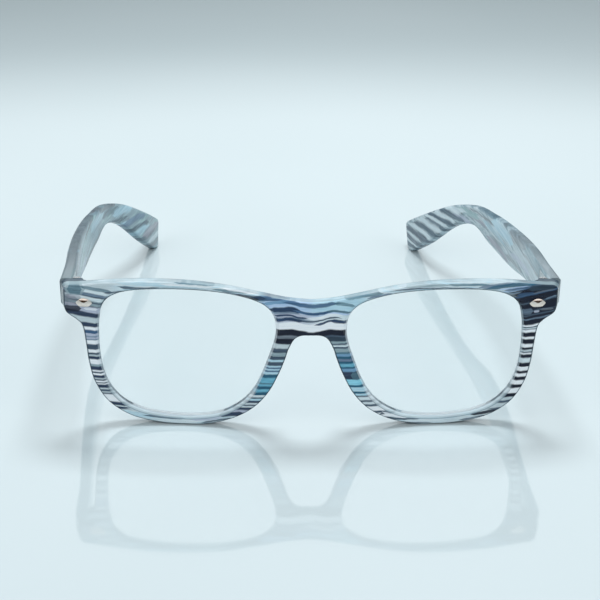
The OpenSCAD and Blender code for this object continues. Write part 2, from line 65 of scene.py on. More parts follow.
# Values of the part's source that the finer front and temples are built from
LENS_W, LENS_H, BRIDGE_W = 51.6, 41.0, 20.4
FACE_R = 600.0
RIM_T, RIM_BOTTOM, RIM_NOSE, RIM_SIDE = 3.3, 2.8, 4.7, 4.1
BROW_W, BRIDGE_H, ARCH_W = 2.5, 10.6, 2.6
EDGE_R, BEVEL_W, REST_FLAT = 0.7, 0.9, 0.03
LUG_W, LUG_H, LUG_D, LUG_DROP, LUG_FLARE = 9.7, 8.4, 5.05, 2.2, 1.2
GROOVE_D, GROOVE_W, GROOVE_Y = 0.6, 1.1, RIM_T * 0.53
KNUCKLE_R, KNUCKLE_H, KNUCKLE_GAP = 1.3, 1.15, 0.06
LEAF_T, LEAF_LEN, JOINT_GAP, SEAT_GAP = 0.85, 9.0, 0.15, 0.04
RIVET_OUT, PIN_R, PIN_PITCH = 3.7, 0.55, 2.0
TEMPLE_T, TEMPLE_H, TEMPLE_H_MID, BEND_H, TIP_H = 3.6, 8.6, 12.5, 6.9, 12.4
BEND_LEN, TIP_LEN, BEND_DROP, BOW, BEND_IN = 93.0, 42.0, 10.4, 2.5, 0.2
TIP_IN, TIP_ROUND, TIP_ROUND_LOW = 13.8, 1.9, 3.6
LEFT_TURN, TEMPLE_R, TEMPLE_PROUD = 6.4, 1.1, 0.4
PAD_LEN, PAD_W, PAD_D = 13.0, 3.8, 3.6

LENS_SHAPE = [
    (-1, 0.4), (-0.973, 0.18), (-0.903, -0.088), (-0.818, -0.376),
    (-0.713, -0.615), (-0.562, -0.805), (-0.341, -0.946), (-0.04, -1),
    (0.271, -0.983), (0.535, -0.92), (0.748, -0.785), (0.895, -0.566),
    (0.969, -0.298), (0.998, -0.015), (1, 0.278), (0.984, 0.541),
    (0.926, 0.766), (0.783, 0.902), (0.543, 0.971), (0.155, 1),
    (-0.233, 0.985), (-0.562, 0.922), (-0.833, 0.805), (-0.969, 0.629),
]
SHAPE_N = len(LENS_SHAPE)
LENS_X = BRIDGE_W / 2 + LENS_W / 2
LENS_Z = RIM_BOTTOM + LENS_H / 2
LENS_OUT = BRIDGE_W / 2 + LENS_W
HALF_W = LENS_OUT + LUG_W
BROW_Z = RIM_BOTTOM + LENS_H + BROW_W
ARCH_Z = LENS_Z + LENS_H * 0.16
BRIDGE_Z = ARCH_Z + BRIDGE_H
LUG_TOP = BROW_Z - LUG_DROP
LUG_LOW = LUG_TOP - LUG_H
LUG_MID = (LUG_TOP + LUG_LOW) / 2


def face_y(x):
    return x * x / (2 * FACE_R)


def ease(u):
    c = max(0.0, min(1.0, u))
    return c * c * (3 - 2 * c)


def add(a, b, share=1.0):
    return (a[0] + b[0] * share, a[1] + b[1] * share)


def mixed(a, b, share):
    return (a[0] * (1 - share) + b[0] * share, a[1] * (1 - share) + b[1] * share)


def unit(v):
    size = math.hypot(*v)
    return (v[0] / size, v[1] / size)


def curve_at(a, b, c, d, u):
    return (
        b + (c - a) / 2 * u + (a - 2.5 * b + 2 * c - d / 2) * u * u
        + ((d - a) / 2 + (b - c) * 1.5) * u ** 3
    )


def opening_at(p):
    i = math.floor(p)
    near = [LENS_SHAPE[(i + k) % SHAPE_N] for k in (-1, 0, 1, 2)]
    sx, sz = (curve_at(*[q[axis] for q in near], p - i) for axis in (0, 1))
    return (LENS_X + sx * LENS_W / 2, LENS_Z + sz * LENS_H / 2)


NEARBY = 0.05


def opening_normal(p):
    a, b = opening_at(p - NEARBY), opening_at(p + NEARBY)
    d = unit((b[0] - a[0], b[1] - a[1]))
    return (d[1], -d[0])


def key_slope(keys, i):
    if i == 0 or i == len(keys) - 1:
        a, b = (keys[0], keys[1]) if i == 0 else (keys[-2], keys[-1])
        return [(q - p) / (b[0] - a[0]) for p, q in zip(a, b)]
    da, db = keys[i][0] - keys[i - 1][0], keys[i + 1][0] - keys[i][0]
    return [
        ((q - p) / da * db + (r - q) / db * da) / (da + db)
        for p, q, r in zip(keys[i - 1], keys[i], keys[i + 1])
    ]


def key_at(keys, t):
    i = 0
    while i < len(keys) - 2 and t >= keys[i + 1][0]:
        i += 1
    h = keys[i + 1][0] - keys[i][0]
    u = (t - keys[i][0]) / h
    ma, mb = key_slope(keys, i), key_slope(keys, i + 1)
    return [
        a * (2 * u ** 3 - 3 * u * u + 1) + sa * h * (u ** 3 - 2 * u * u + u)
        + b * (3 * u * u - 2 * u ** 3) + sb * h * (u ** 3 - u * u)
        for a, b, sa, sb in zip(keys[i], keys[i + 1], ma, mb)
    ]


RIM_KEYS = [
    (1, RIM_NOSE), (2.5, RIM_NOSE * 0.96), (4, RIM_NOSE * 0.83), (5.5, RIM_BOTTOM * 1.07),
    (7, RIM_BOTTOM), (9, RIM_BOTTOM * 1.07), (11, RIM_BOTTOM * 1.29),
    (12.5, RIM_BOTTOM * 1.32), (14.25, RIM_SIDE),
]


def rim_point(p):
    return add(opening_at(p), opening_normal(p), key_at(RIM_KEYS, p)[1])


SEAM_PLACE = 23.25
OUTER_KEYS = [
    (0, 0, ARCH_Z), (0.25, ARCH_W, ARCH_Z - BRIDGE_H * 0.005),
    (0.5, ARCH_W * 1.65, ARCH_Z - BRIDGE_H * 0.07),
    *[(p, *rim_point(p)) for p in (1, *[k + 0.5 for k in range(1, 14)])],
    (14.25, rim_point(14.25)[0] + LUG_W * 0.06, LUG_LOW - LUG_H * 0.54),
    (15, HALF_W - LUG_W * 0.34, LUG_LOW - LUG_H * 0.27),
    (15.5, HALF_W - LUG_W * 0.05, LUG_LOW - LUG_H * 0.01),
    (15.75, HALF_W, LUG_LOW + LUG_H * 0.15), (16.25, HALF_W, LUG_TOP - LUG_H * 0.31),
    (16.5, HALF_W - LUG_W * 0.01, LUG_TOP - LUG_H * 0.12),
    (16.75, HALF_W - LUG_W * 0.1, LUG_TOP - LUG_H * 0.01),
    (17.25, HALF_W - LUG_W * 0.41, LUG_TOP + LUG_H * 0.04),
    (18.25, LENS_X + LENS_W * 0.35, BROW_Z - BROW_W * 0.14),
    (19.25, LENS_X + LENS_W * 0.13, BROW_Z),
    (20.25, LENS_X - LENS_W * 0.07, BROW_Z - BROW_W * 0.18),
    (21.25, LENS_X - LENS_W * 0.26, BROW_Z - BROW_W * 0.72),
    (22, LENS_X - LENS_W * 0.42, BROW_Z - BROW_W * 1.44),
    (22.75, BRIDGE_W * 0.3, BRIDGE_Z + BRIDGE_H * 0.057), (SEAM_PLACE, 0, BRIDGE_Z),
]


def on_table(z):
    return max(z, REST_FLAT) - REST_FLAT


def outer_at(p):
    if p > SEAM_PLACE:
        return (0, BRIDGE_Z + (ARCH_Z - BRIDGE_Z) * (p - SEAM_PLACE) / (SHAPE_N - SEAM_PLACE))
    if p in (0, SEAM_PLACE):
        return (0, ARCH_Z if p == 0 else BRIDGE_Z)
    k = key_at(OUTER_KEYS, p)
    return (k[1], on_table(k[2]))


def outer_inward(p):
    if p > SEAM_PLACE:
        return (0, 0)
    if p in (0, SEAM_PLACE):
        return (0, 1 if p == 0 else -1)
    a, b = outer_at(max(p - NEARBY, 0)), outer_at(min(p + NEARBY, SEAM_PLACE))
    d = unit((b[0] - a[0], b[1] - a[1]))
    return (-d[1], d[0])


JOINT_Y = face_y(HALF_W) + LUG_D
LUG_SLOPE, LUG_BACK, TOP_PLACE = LUG_W * 0.113, LENS_OUT + LUG_W * 0.062, 17
TOP_SHIFT, FLARE_W = LUG_W * 0.37, LUG_W * 0.36


def lug_share(q, p):
    start = LUG_BACK + TOP_SHIFT * ease((p - TOP_PLACE) / 0.5)
    return ease((q[0] - start) / LUG_SLOPE) * ease((q[1] - LUG_LOW) / LUG_H / 0.48 + 1.12)


def at_face(q, d):
    return (q[0], face_y(q[0]) + d, q[1])


def at_back(q, d, p):
    share = lug_share(q, p)
    x = q[0] + LUG_FLARE * share * ease((q[0] - HALF_W) / FLARE_W + 1)
    return (x, (face_y(q[0]) + RIM_T) * (1 - share) + JOINT_Y * share - d, q[1])


CREASE, BACK_SOFT = 0.12, 0.25
FACE_STEPS, ARC_STEPS, WALL_STEPS, BACK_STEPS, BACK_ARC_STEPS = 6, 6, 3, 26, 3


def quarter(steps):
    """How far a quarter circle is from its end and from its start, step by step."""
    turns = [math.pi / 2 * k / steps for k in range(steps + 1)]
    return [(1 - math.sin(t), 1 - math.cos(t)) for t in turns]


def section(p):
    """Points round the front's cross section at one place of the lens opening."""
    a, n, b, m = opening_at(p), opening_normal(p), outer_at(p), outer_inward(p)
    bevel_top = add(a, n, BEVEL_W)
    made = [
        at_face(add(bevel_top, n, CREASE * u * u), CREASE * (1 - u) ** 2) for u in (0, 0.5, 1)
    ]
    face_from, face_to = add(bevel_top, n, CREASE), add(b, m, EDGE_R)
    made += [at_face(mixed(face_from, face_to, k / FACE_STEPS), 0) for k in range(1, FACE_STEPS)]
    first = len(made)
    made += [at_face(add(b, m, EDGE_R * u), EDGE_R * w) for u, w in quarter(ARC_STEPS)]
    front_wall, back_wall = at_face(b, EDGE_R), at_back(b, EDGE_R, p)
    for k in range(1, WALL_STEPS):
        u = k / WALL_STEPS
        made.append(tuple(f * (1 - u) + g * u for f, g in zip(front_wall, back_wall)))
    made += [at_back(add(b, m, EDGE_R * w), EDGE_R * u, p) for u, w in quarter(ARC_STEPS)]
    last = len(made) - 1
    back_a = add(a, n, BACK_SOFT)
    made += [at_back(mixed(face_to, back_a, k / BACK_STEPS), 0, p) for k in range(1, BACK_STEPS)]
    for u, w in quarter(BACK_ARC_STEPS):
        made.append(at_back(add(a, n, BACK_SOFT * u), BACK_SOFT * w, p))
    groove = add(a, n, GROOVE_D)
    for q, d in (
        (a, GROOVE_Y + GROOVE_W / 2), (groove, GROOVE_Y + GROOVE_W * 0.35),
        (groove, GROOVE_Y - GROOVE_W * 0.35), (a, GROOVE_Y - GROOVE_W / 2),
        (a, BEVEL_W + CREASE * 0.5), (add(a, n, CREASE * 0.3), BEVEL_W - CREASE * 0.4),
        (add(a, n, BEVEL_W * 0.5), BEVEL_W * 0.5),
    ):
        made.append(at_face(q, d))
    return made, first, last


SHARP_ANGLE = 38


def smooth(obj):
    obj.data.polygons.foreach_set("use_smooth", [True] * len(obj.data.polygons))
    obj.data.set_sharp_from_angle(angle=math.radians(SHARP_ANGLE))


def linked(name, data):
    obj = bpy.data.objects.new(name, data)
    bpy.context.scene.collection.objects.link(obj)
    return obj


def placed(verts):
    """From the source's front frame to the table's."""
    return [(x + SIDE_SHIFT, y + DEPTH_SHIFT, z) for x, y, z in verts]


def new_object(name, verts, faces):
    mesh = bpy.data.meshes.new(name)
    mesh.from_pydata([tuple(c * MM for c in v) for v in placed(verts)], [], faces)
    mesh.validate()
    return linked(name, mesh)


STEPS = 16


def front_mesh():
    stations = SHAPE_N * STEPS
    rows = [section(k / STEPS) for k in range(stations)]
    n, (first, last) = len(rows[0][0]), rows[0][1:]
    half = [v for row in rows for v in row[0]]
    count = len(half)
    mirrored = [(-x, y, z) for x, y, z in half]
    faces = []
    for k in range(stations):
        seam = k / STEPS >= SEAM_PLACE
        k2 = (k + 1) % stations
        for j in range(n):
            if seam and first <= j < last:
                continue
            j2 = (j + 1) % n
            faces.append((k * n + j, k2 * n + j, k2 * n + j2, k * n + j2))

    def other(i):
        return i if half[i][0] == 0 else i + count

    faces += [tuple(other(i) for i in reversed(f)) for f in faces]
    return half + mirrored, faces


SIDE_GAP = 0.1
TEMPLE_SIDE = HALF_W + LUG_FLARE + TEMPLE_PROUD
TEMPLE_INNER = TEMPLE_SIDE - TEMPLE_T
HINGE_X = TEMPLE_INNER - SIDE_GAP - KNUCKLE_R
HINGE_Y = JOINT_Y + JOINT_GAP + KNUCKLE_R
STACK_H = 5 * KNUCKLE_H + 4 * KNUCKLE_GAP
STACK_LOW = LUG_MID - STACK_H / 2
RIVET_X = LENS_OUT + RIVET_OUT
LEAF_EDGE = 0.5
LEAF_LEFT = RIVET_X - PIN_PITCH / 2 - PIN_R - LEAF_EDGE
LEAF_RIGHT = max(RIVET_X + PIN_PITCH / 2 + PIN_R, HINGE_X) + LEAF_EDGE

TEMPLE_START = JOINT_Y + JOINT_GAP
LEAF_FROM = TEMPLE_START + 0.2
TEMPLE_MID = LUG_TOP - TEMPLE_H / 2
BEND_MID = TEMPLE_MID - BEND_DROP
BEND_SIDE = TEMPLE_SIDE - BEND_IN
TEMPLE_LEN = BEND_LEN + TIP_LEN
BEND_LEAN, TIP_LEAN, END_LEAN = 24, 37, 32
TIP_MID = TIP_H / 2 * math.cos(math.radians(END_LEAN))


def tip_key(share, drop, inward, lean, h):
    return (
        BEND_LEN + TIP_LEN * share, BEND_MID + (TIP_MID - BEND_MID) * drop, lean, h,
        BEND_SIDE - TIP_IN * inward,
    )


TEMPLE_KEYS = [
    (0, TEMPLE_MID, 0, TEMPLE_H, TEMPLE_SIDE),
    (BEND_LEN * 0.11, TEMPLE_MID - BEND_DROP * 0.08, 1, TEMPLE_H * 1.2, TEMPLE_SIDE),
    (BEND_LEN * 0.28, TEMPLE_MID - BEND_DROP * 0.23, 4, TEMPLE_H_MID * 0.89,
     TEMPLE_SIDE + BOW * 0.48),
    (BEND_LEN * 0.54, TEMPLE_MID - BEND_DROP * 0.63, 8, TEMPLE_H_MID, TEMPLE_SIDE + BOW),
    (BEND_LEN * 0.81, TEMPLE_MID - BEND_DROP * 0.9, 14, TEMPLE_H_MID * 0.84,
     TEMPLE_SIDE + BOW * 0.83),
    (BEND_LEN, BEND_MID, BEND_LEAN, BEND_H, BEND_SIDE),
    tip_key(0.3, 0.2, 0.28, TIP_LEAN, BEND_H * 1.13),
    tip_key(0.65, 0.63, 0.73, (TIP_LEAN + END_LEAN) / 2 + 1, TIP_H * 0.93),
    tip_key(1, 1, 1, END_LEAN, TIP_H),
]


def drawn_in(place, r):
    d = max(0.0, place - TEMPLE_LEN + r)
    return r - math.sqrt(max(0.0, r * r - d * d))


TEMPLE_ROWS, TIP_ROWS, CORNER_STEPS = 150, 14, 6


def temple_ring(place, inset):
    k = key_at(TEMPLE_KEYS, place)
    lean = math.radians(k[2])
    thin = drawn_in(place, TIP_ROUND)
    t, r = TEMPLE_T - thin * 0.6 - inset * 2, TEMPLE_R - thin * 0.25
    high = k[3] / 2 - thin - inset
    low = drawn_in(place, TIP_ROUND_LOW) + inset - k[3] / 2
    ring = []
    for turn in range(4):
        side_x = (1 if turn in (0, 3) else -1) * (t / 2 - r)
        side_w = high - r if turn < 2 else low + r
        for step in range(CORNER_STEPS + 1):
            a = math.radians(turn * 90 + 90 * step / CORNER_STEPS)
            x, w = side_x + r * math.cos(a), side_w + r * math.sin(a)
            ring.append((
                k[4] - TEMPLE_T / 2 + x, TEMPLE_START + place + w * math.sin(lean),
                k[1] + w * math.cos(lean),
            ))
    return ring


def temple_mesh():
    places = [(0, CREASE), (CREASE * 0.3, CREASE * 0.3), (CREASE, 0)]
    run = TEMPLE_LEN - TIP_ROUND_LOW
    for i in range(1, TEMPLE_ROWS + 1):
        places.append((CREASE + (run - CREASE) * i / TEMPLE_ROWS, 0))
    for i in range(1, TIP_ROWS + 1):
        places.append((run + TIP_ROUND_LOW * math.sin(math.pi / 2 * i / TIP_ROWS), 0))
    rings = [temple_ring(*q) for q in places]
    n = len(rings[0])
    verts = [v for ring in rings for v in ring]
    low = min(range(len(verts)), key=lambda i: verts[i][2])
    low_y, low_z = verts[low][1], verts[low][2]
    verts = [
        (x, y, on_table(z - low_z * (y - TEMPLE_START) / (low_y - TEMPLE_START)))
        for x, y, z in verts
    ]
    faces = []
    for k in range(len(rings) - 1):
        for j in range(n):
            a, b = k * n + j, k * n + (j + 1) % n
            faces.append((a, b, b + n, a + n))
    faces.append(tuple(reversed(range(n))))
    faces.append(tuple((len(rings) - 1) * n + j for j in range(n)))
    return verts, faces


def turned(verts):
    c, s = math.cos(math.radians(LEFT_TURN)), math.sin(math.radians(LEFT_TURN))
    return [
        (
            HINGE_X + (x - HINGE_X) * c - (y - HINGE_Y) * s,
            HINGE_Y + (x - HINGE_X) * s + (y - HINGE_Y) * c, z,
        )
        for x, y, z in verts
    ]


def mirrored_mesh(verts, faces):
    return [(-x, y, z) for x, y, z in verts], [tuple(reversed(f)) for f in faces]


temple_verts, temple_faces = temple_mesh()
turned_verts = turned(temple_verts)
wide_out = max(v[0] for v in temple_verts)
turned_out = max(HALF_W + LUG_FLARE, max(v[0] for v in turned_verts))
SIDE_SHIFT = (wide_out - turned_out) / 2
DEPTH_SHIFT = -max(max(v[1] for v in temple_verts), max(v[1] for v in turned_verts)) / 2


def box(low, high):
    """Corners and faces of a box between two corners."""
    faces = [(0, 1, 3, 2), (4, 6, 7, 5), (0, 4, 5, 1), (2, 3, 7, 6), (0, 2, 6, 4), (1, 5, 7, 3)]
    return list(itertools.product(*zip(low, high))), faces


def cut(obj, verts, faces):
    """Takes a closed mesh out of an object."""
    tool = new_object("cutter", verts, faces)
    mod = obj.modifiers.new("cut", "BOOLEAN")
    mod.operation, mod.solver, mod.object = "DIFFERENCE", "EXACT", tool
    bpy.context.view_layer.update()
    seen = obj.evaluated_get(bpy.context.evaluated_depsgraph_get())
    result = bpy.data.meshes.new_from_object(seen)
    obj.modifiers.remove(mod)
    obj.data = result
    bpy.data.objects.remove(tool)


# Pockets of the hinge leaves on the left, before the temple is turned
OPEN_SIDE = 1
POCKET_LOW, POCKET_TOP = STACK_LOW - SEAT_GAP, STACK_LOW + STACK_H + SEAT_GAP
front_pocket = box(
    (LEAF_LEFT - SEAT_GAP, JOINT_Y - LEAF_T - SEAT_GAP, POCKET_LOW),
    (LEAF_RIGHT + SEAT_GAP, JOINT_Y + OPEN_SIDE, POCKET_TOP),
)
pocket_verts, pocket_faces = box(
    (TEMPLE_INNER - OPEN_SIDE, LEAF_FROM - SEAT_GAP, POCKET_LOW),
    (TEMPLE_INNER + LEAF_T + SEAT_GAP, LEAF_FROM + LEAF_LEN + SEAT_GAP, POCKET_TOP),
)

front = new_object("front_laminate", *front_mesh())
for pocket in (mirrored_mesh(*front_pocket), front_pocket):
    cut(front, *pocket)
smooth(front)

temples = {}
for name, mesh, pocket in (
    ("right", mirrored_mesh(temple_verts, temple_faces),
     mirrored_mesh(pocket_verts, pocket_faces)),
    ("left", (turned_verts, temple_faces), (turned(pocket_verts), pocket_faces)),
):
    obj = new_object(f"temple_{name}_laminate", *mesh)
    cut(obj, *pocket)
    smooth(obj)
    temples[name] = obj


# Nose pads: the source's hull of three spheres, with finer spheres

PAD_PLACE = 2.1
PAD_PEAK_SIDE, PAD_PEAK_DROP = 0.13, 0.08
BALL_SEGMENTS, BALL_RINGS = 64, 40


def pad_mesh():
    mid = mixed(opening_at(PAD_PLACE), outer_at(PAD_PLACE), 0.5)
    u, v = opening_at(PAD_PLACE - 1), opening_at(PAD_PLACE + 1)
    along = unit((u[0] - v[0], u[1] - v[1]))
    top_r, low_r = PAD_W * 0.36, PAD_W / 2
    bm = bmesh.new()
    for centre, r in (
        ((0, 0, PAD_LEN / 2 - top_r), top_r), ((0, 0, low_r - PAD_LEN / 2), low_r),
        ((-PAD_W * PAD_PEAK_SIDE, PAD_D - top_r, -PAD_LEN * PAD_PEAK_DROP), top_r),
    ):
        made = bmesh.ops.create_uvsphere(
            bm, u_segments=BALL_SEGMENTS, v_segments=BALL_RINGS, radius=r
        )
        bmesh.ops.translate(bm, verts=made["verts"], vec=centre)
    hull = bmesh.ops.convex_hull(bm, input=bm.verts)
    spare = [e for e in hull["geom_interior"] if isinstance(e, bmesh.types.BMVert)]
    bmesh.ops.delete(bm, geom=spare, context="VERTS")
    loose = [v for v in bm.verts if not v.link_faces]
    bmesh.ops.delete(bm, geom=loose, context="VERTS")
    whole = bm.verts[:] + bm.edges[:] + bm.faces[:]
    sliced = bmesh.ops.bisect_plane(
        bm, geom=whole, plane_co=(0, 0, 0), plane_no=(0, -1, 0), clear_outer=True
    )
    rim = [e for e in sliced["geom_cut"] if isinstance(e, bmesh.types.BMEdge)]
    bmesh.ops.contextual_create(bm, geom=rim)
    bmesh.ops.recalc_face_normals(bm, faces=bm.faces)
    turn_y = Matrix.Rotation(-math.atan2(-along[0], along[1]), 3, "Y")
    turn_z = Matrix.Rotation(math.atan(mid[0] / FACE_R), 3, "Z")
    at = Vector((mid[0], face_y(mid[0]) + RIM_T + SEAT_GAP, mid[1]))
    verts = [tuple(at + turn_z @ (turn_y @ v.co)) for v in bm.verts]
    bm.verts.index_update()
    faces = [tuple(v.index for v in f.verts) for f in bm.faces]
    bm.free()
    return verts, faces


pads = {}
pad = pad_mesh()
for name, mesh in (("right", mirrored_mesh(*pad)), ("left", pad)):
    pads[name] = new_object(f"nose_pad_{name}_smooth", *mesh)
    smooth(pads[name])


# Materials: each is a small network of nodes over the object's own coordinates

class Net:
    """A material or world node tree with short calls for the nodes that are used here."""

    def __init__(self, tree):
        self.tree = tree
        tree.nodes.clear()

    def put(self, socket, value):
        """Links another node's socket to this one, or sets this one to a plain value."""
        if isinstance(value, bpy.types.NodeSocket):
            self.tree.links.new(value, socket)
        else:
            socket.default_value = value

    def node(self, kind, inputs=None, **settings):
        n = self.tree.nodes.new("ShaderNode" + kind)
        for key, value in settings.items():
            setattr(n, key, value)
        for key, value in (inputs or {}).items():
            self.put(n.inputs[key], value)
        return n

    def value(self, kind, inputs, **settings):
        return self.node(kind, inputs, **settings).outputs[0]

    def math(self, op, a, b=0.0, c=0.0):
        return self.value("Math", {0: a, 1: b, 2: c}, operation=op)

    def plus(self, a, b):
        return self.math("ADD", a, b)

    def minus(self, a, b):
        return self.math("SUBTRACT", a, b)

    def times(self, a, b):
        return self.math("MULTIPLY", a, b)

    def sway(self, noise, size):
        """A noise as a shift to both sides."""
        return self.times(self.minus(noise, 0.5), size)

    def mapped(self, vector, shift, scale, turn=(0, 0, 0)):
        return self.value(
            "Mapping", {"Vector": vector, "Location": shift, "Scale": scale, "Rotation": turn}
        )

    def noise(
        self, vector, scale, detail, shift=(0, 0, 0), rough=0.5, distortion=0.0, turn=(0, 0, 0),
    ):
        """A noise with its own scale along each axis."""
        return self.value("TexNoise", {
            "Vector": self.mapped(vector, shift, scale, turn), "Scale": 1.0, "Detail": detail,
            "Roughness": rough, "Distortion": distortion,
        })

    def span(self, value, low, high, to_low=0.0, to_high=1.0, kind="SMOOTHSTEP"):
        return self.value("MapRange", {
            "Value": value, "From Min": low, "From Max": high, "To Min": to_low, "To Max": to_high,
        }, interpolation_type=kind)

    def mix(self, share, a, b, kind="MIX"):
        n = self.node("Mix", data_type="RGBA", blend_type=kind)
        for index, value in ((0, share), (6, linear(a)), (7, linear(b))):
            self.put(n.inputs[index], value)
        return n.outputs[2]

    def ramp(self, value, stops):
        n = self.node("ValToRGB", {0: value})
        spare = n.color_ramp.elements
        while len(spare) > 1:
            spare.remove(spare[-1])
        spare[0].position, spare[0].color = stops[0][0], linear(stops[0][1])
        for place, shade in stops[1:]:
            spare.new(place).color = linear(shade)
        return n.outputs[0]

    def bent(self, share, heights):
        """A smooth height along a streak, through (share of its length, height) points."""
        low, high = min(h for _, h in heights) - 0.5, max(h for _, h in heights) + 0.5
        n = self.node("FloatCurve", {"Value": share})
        curve = n.mapping.curves[0]
        places = [(u, (h - low) / (high - low)) for u, h in heights]
        curve.points[0].location, curve.points[1].location = places[0], places[-1]
        for place in places[1:-1]:
            curve.points.new(*place)
        n.mapping.update()
        return self.math("MULTIPLY_ADD", n.outputs[0], high - low, low)

    def grained(self, share, under, noise, dark):
        """Lays a noise over a colour as fine dark and light lines."""
        tones = self.ramp(noise, [(0.3, (dark,) * 3), (0.7, (1 - dark,) * 3)])
        return self.mix(share, under, tones, "SOFT_LIGHT")

    def principled(self, values):
        return self.node("BsdfPrincipled", values)

    def surface(self, shader):
        self.node("OutputMaterial", {"Surface": shader.outputs[0]})


def linear(shade):
    """A linear colour with its alpha, from a palette name, three whole numbers as they look on
    a screen, 0 to 255, or three linear ones. A node's socket stays as it is."""
    if isinstance(shade, str):
        shade = PLASTIC[shade]
    if not isinstance(shade, tuple) or len(shade) == 4:
        return shade
    if all(isinstance(c, int) for c in shade):
        shade = [c / 255 for c in shade]
        shade = [c / 12.92 if c <= 0.04045 else ((c + 0.055) / 1.055) ** 2.4 for c in shade]
    return (*shade, 1.0)


def material(name):
    mat = bpy.data.materials.new(name)
    mat.use_nodes = True
    return mat, Net(mat.node_tree)


PLASTIC = {
    "white": (228, 238, 245), "frost": (202, 220, 228), "pale": (184, 202, 210),
    "lavender": (170, 182, 202), "ice": (172, 210, 227), "sky": (172, 200, 230),
    "mist": (140, 164, 174), "mauve": (144, 148, 162), "grey": (108, 120, 132),
    "teal": (76, 112, 128), "cyan": (104, 172, 198), "blue": (60, 92, 126),
    "dusk": (104, 127, 148), "deep": (40, 90, 116), "navy": (44, 60, 84), "indigo": (38, 62, 92),
    "slate": (64, 82, 100), "char": (16, 24, 42), "sage": (150, 182, 187), "ash": (122, 131, 138),
    "steel": (98, 122, 148), "storm": (88, 108, 122), "azure": (110, 154, 188),
    "ink": (44, 62, 78), "aqua": (138, 206, 228),
}

# Layers of the laminate from the top down, by the height where each ends: at the wearer's right
# and left end piece and the rim's outer side there, and at the right and left of the nose
# The last layer of each stack, slate below about 1 mm, is painted shade along the bottom edge where
# the front rests on the floor
END_RIGHT = {
    44.7: "pale", 42.5: "frost", 41.5: "dusk", 41.1: "slate", 40: "frost", 39.6: "mist",
    39.2: "slate", 38.5: "mist", 38.1: "grey", 36.2: "lavender", 34.8: "navy", 33.2: "pale",
    31.8: "navy", 30.9: "white", 29.9: "blue", 29: "lavender", 28.6: "dusk", 27.9: "lavender",
    27.5: "dusk", 26.2: "white", 24.5: "slate", 23.4: "white", 22.7: "slate", 22.2: "pale",
    21.2: "navy", 19.5: "white", 18.8: "mist", 17.5: "navy", 17: "white", 16.5: "slate",
    15.9: "white", 14.9: "navy", 14.5: "pale", 14: "slate", 13.4: "white", 13: "slate",
    12.7: "white", 11.5: "navy", 11.1: "pale", 10.4: "slate", 10: "pale", 9.5: "slate",
    7.3: "white", 6.1: "navy", 5.7: "pale", 4.9: "navy", 3: "frost", 2.2: "ice", 1.7: "mist",
    0.9: "pale", -1: "slate",
}
END_LEFT = {
    45: "pale", 44.3: "slate", 43.8: "steel", 41.9: "char", 41.4: "blue", 39.4: "char",
    38.9: "slate", 36.4: "char", 35.9: "slate", 35.1: "char", 34.7: "slate", 33.9: "char",
    33.6: "dusk", 32.1: "char", 31.6: "white", 31.2: "slate", 30.9: "frost", 30.6: "grey",
    29.7: "white", 28.2: "char", 27.4: "white", 25.9: "char", 24.8: "white", 24: "char",
    23.3: "pale", 22.9: "slate", 22.4: "white", 21.3: "char", 19.8: "frost", 18.5: "char",
    17.2: "white", 16.4: "char", 15.4: "white", 14.2: "char", 12.9: "white", 11.7: "char",
    10: "white", 8.7: "char", 7.8: "pale", 7.1: "slate", 5.6: "pale", 4.9: "slate", 3.9: "frost",
    2.9: "char", 1.8: "pale", 0.7: "mist", -1: "slate",
}
NOSE_RIGHT = {
    43.6: "frost", 41.6: "ice", 39: "sky", 37.5: "sky", 36.8: "lavender", 36.1: "lavender",
    35.5: "dusk", 34.6: "lavender", 32.25: "white", 30.2: "char", 29.1: "grey", 27.2: "char",
    25.8: "pale", 24.5: "slate", 23.3: "mist", 22.2: "slate", 21.4: "ice", 20.2: "slate",
    19.7: "ice", 19.2: "blue", 18.7: "ice", 18.2: "blue", 17.4: "ice", 16.3: "deep", 14.5: "cyan",
    14.2: "teal", 13.5: "cyan", 12.5: "deep", 11.6: "cyan", 10.5: "deep", 9.8: "frost",
    9.3: "slate", 8.6: "ice", 7.8: "navy", 7.3: "frost", 6.8: "slate", 6.4: "frost", 5.5: "navy",
    4.6: "lavender", 3.4: "navy", 2.2: "frost", 1.5: "slate", 0.9: "pale", -1: "slate",
}
NOSE_LEFT = {
    43.8: "frost", 40.4: "ice", 38: "ice", 36.9: "sky", 36: "frost", 35.5: "frost", 34.9: "frost",
    34.1: "white", 32.1: "white", 30.2: "char", 29.7: "slate", 28.2: "ink", 27.5: "mist",
    27: "slate", 26.4: "frost", 25.8: "slate", 24.7: "mist", 24.1: "teal", 23.3: "azure",
    22.5: "deep", 21.6: "steel", 20.8: "deep", 19.8: "cyan", 19.3: "deep", 18.3: "azure",
    15.8: "navy", 14: "aqua", 13.2: "deep", 11.7: "ice", 11: "deep", 10.3: "ice", 9.9: "slate",
    8.8: "frost", 8.2: "slate", 7.5: "frost", 6.8: "slate", 5.1: "white", 4.3: "slate", 3: "white",
    2.3: "slate", 1.3: "white", 0.7: "mist", -1: "slate",
}

